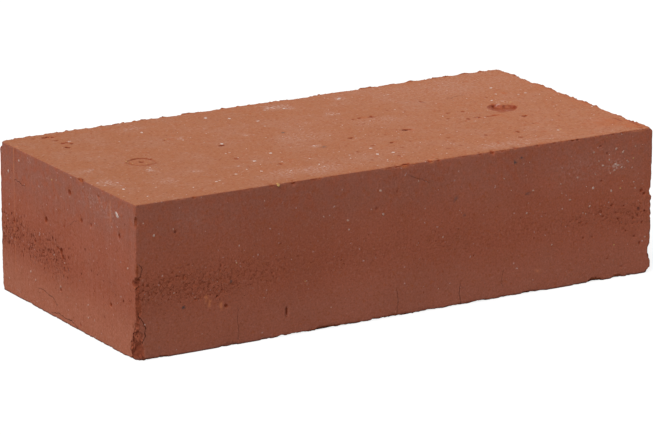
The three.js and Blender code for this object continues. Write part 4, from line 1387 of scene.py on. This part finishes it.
def fired_clay():
    """Terracotta with a pressed skin: iron-red, matt, paler on its upper bed."""
    material, tree = new_material("terracotta pressed skin")
    node = partial(add, tree)

    # What the net carries, where a point is, and which way the surface faces.
    made = {name: node("Attribute", attribute_name=name).outputs["Fac"] for name in fields}
    place = node("TexCoord").outputs["Object"]
    where = node("SeparateXYZ", {0: place}).outputs
    facing = node("SeparateXYZ", {0: node("NewGeometry").outputs["Normal"]}).outputs
    made |= {"z": where["Z"], "up": facing["Z"]}
    levels = {"Value": facing["X"], "From Min": -0.5, "From Max": -0.9}
    endward = made["endward"] = node("MapRange", levels, interpolation_type="SMOOTHSTEP")
    # Painted light: the brick is painted lighter towards its right, which evens out the soft box's
    # light, stronger at its left.
    ends = {"Value": where["X"], "From Min": -HALF[0] * MM, "From Max": HALF[0] * MM}
    made["rightward"] = node("MapRange", ends | {"To Min": 0.97, "To Max": 1.11})

    for name, size, detail, longer in CLAY_CLOUDS:
        drawn = node("Mapping", {"Vector": place, "Scale": (1, 1, 1 / longer)})
        inputs = {"Vector": drawn, "Scale": per_mm(size), "Detail": detail, "Roughness": 0.6}
        made[name] = node("TexNoise", inputs)

    # Crumbs and specks are cells whose borders wander. On the left end the holes where grains
    # fell out are drawn out upwards.
    swirl = node("TexNoise", {"Vector": place, "Scale": per_mm(1.8)}).outputs["Color"]
    moved = {0: swirl, 1: (SWIRL * MM,) * 3, 2: place}
    swirled = node("VectorMath", moved, operation="MULTIPLY_ADD")
    cells = {"Vector": swirled, "Scale": per_mm(2.0)}
    made["crumb edge"] = node("TexVoronoi", cells, feature="DISTANCE_TO_EDGE")
    made["spot"] = node("TexVoronoi", cells)
    parts = node("SeparateXYZ", {0: swirled}).outputs
    shrink = node("Math", {0: endward, 1: -0.5, 2: 1.0}, operation="MULTIPLY_ADD")
    lower = node("Math", {0: parts["Z"], 1: shrink}, operation="MULTIPLY")
    drawn = node("CombineXYZ", {"X": parts["X"], "Y": parts["Y"], "Z": lower})
    made["fallen"] = node("TexVoronoi", {"Vector": drawn, "Scale": per_mm(1.3)})
    for name in ("spot", "fallen"):
        pick = node("SeparateColor", {0: made[name].outputs["Color"]}).outputs
        made |= {f"{name} red": pick[0], f"{name} green": pick[1], f"{name} blue": pick[2]}

    for name, operation, *numbers in CLAY_SHARES:
        inputs = {slot: made.get(number, number) for slot, number in enumerate(numbers)}
        if operation == "RISE":
            made[name] = node("MapRange", inputs, interpolation_type="SMOOTHSTEP")
        else:
            made[name] = node("Math", inputs, operation=operation)

    for name, (colour, coats) in CLAY_PAINTS.items():
        for over, *shares in coats:
            cover, *factors = (made.get(share, share) for share in shares)
            for factor in factors:
                cover = node("Math", {0: cover, 1: factor}, operation="MULTIPLY")
            layers = {SHARE: cover, UNDER: colour, OVER: made.get(over, over)}
            colour = node("Mix", layers, data_type="RGBA").outputs[MIXED]
        made[name] = colour

    # On the left end the grit is nearer to grey: strong in blue and weak in red. Each channel also
    # carries the painted light from left to right.
    channels = {}
    for channel, factor, lean in (("Red", 1.05, -0.3), ("Green", 1.16, 0.0), ("Blue", 1.3, 0.4)):
        leaning = node("Math", {0: endward, 1: lean, 2: 1.0}, operation="MULTIPLY_ADD")
        grainy = node("Math", {0: made["grit"], 1: leaning, 2: 1.0}, operation="MULTIPLY_ADD")
        lit = node("Math", {0: made["lighter"], 1: grainy}, operation="MULTIPLY")
        channels[channel] = node("Math", {0: lit, 1: factor}, operation="MULTIPLY")
    shade = {SHARE: 1.0, UNDER: made["skin"], OVER: node("CombineColor", channels)}
    colour = node("Mix", shade, data_type="RGBA", blend_type="MULTIPLY").outputs[MIXED]
    inputs = {"Height": made["height"], "Distance": BUMP_HEIGHT * MM, "Strength": 1.0}
    bump = node("Bump", inputs)
    inputs = {"Base Color": colour, "Roughness": 0.9, "IOR": 1.5, "Specular IOR Level": 0.15}
    node("OutputMaterial", {"Surface": node("BsdfPrincipled", inputs | {"Normal": bump})})
    return material


# %% Lime and sand
def lime():
    """Burnt lime and quartz sand: off-white to straw, matt."""
    material, tree = new_material("burnt lime and sand")
    node = partial(add, tree)
    tint = node("Attribute", attribute_name="tint").outputs["Fac"]
    place = node("TexCoord").outputs["Object"]
    inputs = {"Vector": place, "Scale": per_mm(0.5), "Detail": 3, "Roughness": 0.6}
    veil = node("TexNoise", inputs)
    colour = "#B98F7E"
    # Each coat: its colour, what it follows, from where to where, and how much it covers.
    for over, number, start, end, most in (
        ("#D8C6BE", tint, 0.1, 0.9, 1.0),
        ("#C79A5C", tint, 0.93, 0.95, 1.0),
        ("#A8694F", veil, 0.4, 0.75, 0.3),
    ):
        levels = {"Value": number, "From Min": start, "From Max": end, "To Max": most}
        cover = node("MapRange", levels, interpolation_type="SMOOTHSTEP")
        layers = {SHARE: cover, UNDER: colour, OVER: over}
        colour = node("Mix", layers, data_type="RGBA").outputs[MIXED]
    inputs = {"Base Color": colour, "Roughness": 0.9, "IOR": 1.5}
    node("OutputMaterial", {"Surface": node("BsdfPrincipled", inputs)})
    return material


brick.data.materials.append(fired_clay())
grains.data.materials.append(lime())
print("materials:", [material.name for material in bpy.data.materials])

# %% [markdown]
# ## Floor, light and camera
#
# The brick lies on a white sweep of card under one large soft lamp, high up at the left, with
# a pale sky for fill. The card is seen as white, and keeps the soft shadow of the brick.

# %% Floor
FLOOR_HALF = 6.0  # m


def seen_directly(tree):
    """1 for a ray that comes straight to the eye, off a mirror or through glass, and 0 for one
    that carries light."""
    path = add(tree, "LightPath").outputs
    rays = {0: path["Is Glossy Ray"], 1: path["Is Transmission Ray"]}
    rays = {0: path["Is Camera Ray"], 1: add(tree, "Math", rays, operation="MAXIMUM")}
    return add(tree, "Math", rays, operation="MAXIMUM")


mesh = bpy.data.meshes.new("floor")
corners = [(-1, -1), (1, -1), (1, 1), (-1, 1)]
mesh.from_pydata([(x * FLOOR_HALF, y * FLOOR_HALF, 0) for x, y in corners], [], [(0, 1, 2, 3)])
floor = bpy.data.objects.new("floor", mesh)
bpy.context.scene.collection.objects.link(floor)
material, tree = new_material("white card")
card = add(tree, "BsdfDiffuse", {"Color": "#BABABA"})
seen_card = add(tree, "BsdfDiffuse", {"Color": "#7C7C7C"})
glow = add(tree, "Emission", {"Color": "#FFFFFF", "Strength": 0.86})
lit = add(tree, "AddShader", {0: seen_card, 1: glow})
inputs = {0: seen_directly(tree), 1: card, 2: lit}
both = add(tree, "MixShader", inputs)
add(tree, "OutputMaterial", {"Surface": both})
mesh.materials.append(material)
print(f"floor {2 * FLOOR_HALF:.0f} m across")

# %% Sky and lamp
world = bpy.data.worlds.new("pale sky")
bpy.context.scene.world = world
world.use_nodes = True
tree = world.node_tree
tree.nodes.clear()
fill = add(tree, "Background", {"Color": "#FFFFFF", "Strength": 0.17})
white = add(tree, "Background", {"Color": "#FFFFFF", "Strength": 1.0})
inputs = {0: seen_directly(tree), 1: fill, 2: white}
mixed = add(tree, "MixShader", inputs)
add(tree, "OutputWorld", {"Surface": mixed})


def stand(name, data, aim, direction, distance):
    """Stands a lamp or a camera in a direction and at a distance from its aim, facing it."""
    thing = bpy.data.objects.new(name, data)
    thing.location = aim + direction * distance
    thing.rotation_mode = "QUATERNION"
    thing.rotation_quaternion = (-direction).to_track_quat("-Z", "Y")
    bpy.context.scene.collection.objects.link(thing)
    return thing


# Each lamp: its name, its direction from the brick, its distance and its size in m, its watts.
for name, direction, distance, size, energy in (
    ("soft box", (-0.42, -0.18, 0.80), 6.0, 4.5, 380.0),
    ("white sweep behind", (0.75, 0.6, 0.2), 3.0, 2.0, 29.0),
):
    data = bpy.data.lights.new(name, "AREA")
    data.shape = "SQUARE"
    data.size = size
    data.energy = energy
    stand(name, data, Vector(MIDDLE * MM), Vector(direction).normalized(), distance)
    print(f"{name}: {energy:.0f} W")

# %% Camera
azimuth, elevation = np.radians(-30.90), np.radians(15.57)
distance = 1.7115  # m, far off with a long lens, so that the arrises run nearly parallel
aim = Vector((-9.1, -13.6, 32.4)) * MM
back = Vector(
    (np.sin(azimuth) * np.cos(elevation), -np.cos(azimuth) * np.cos(elevation), np.sin(elevation))
)
data = bpy.data.cameras.new("camera")
data.sensor_width = 36.0
data.lens = 224.3
data.clip_end = 50
bpy.context.scene.camera = stand("camera", data, aim, back, distance)
bpy.context.scene.view_settings.view_transform = "Standard"
print("camera at", np.round(bpy.context.scene.camera.location, 3).tolist())
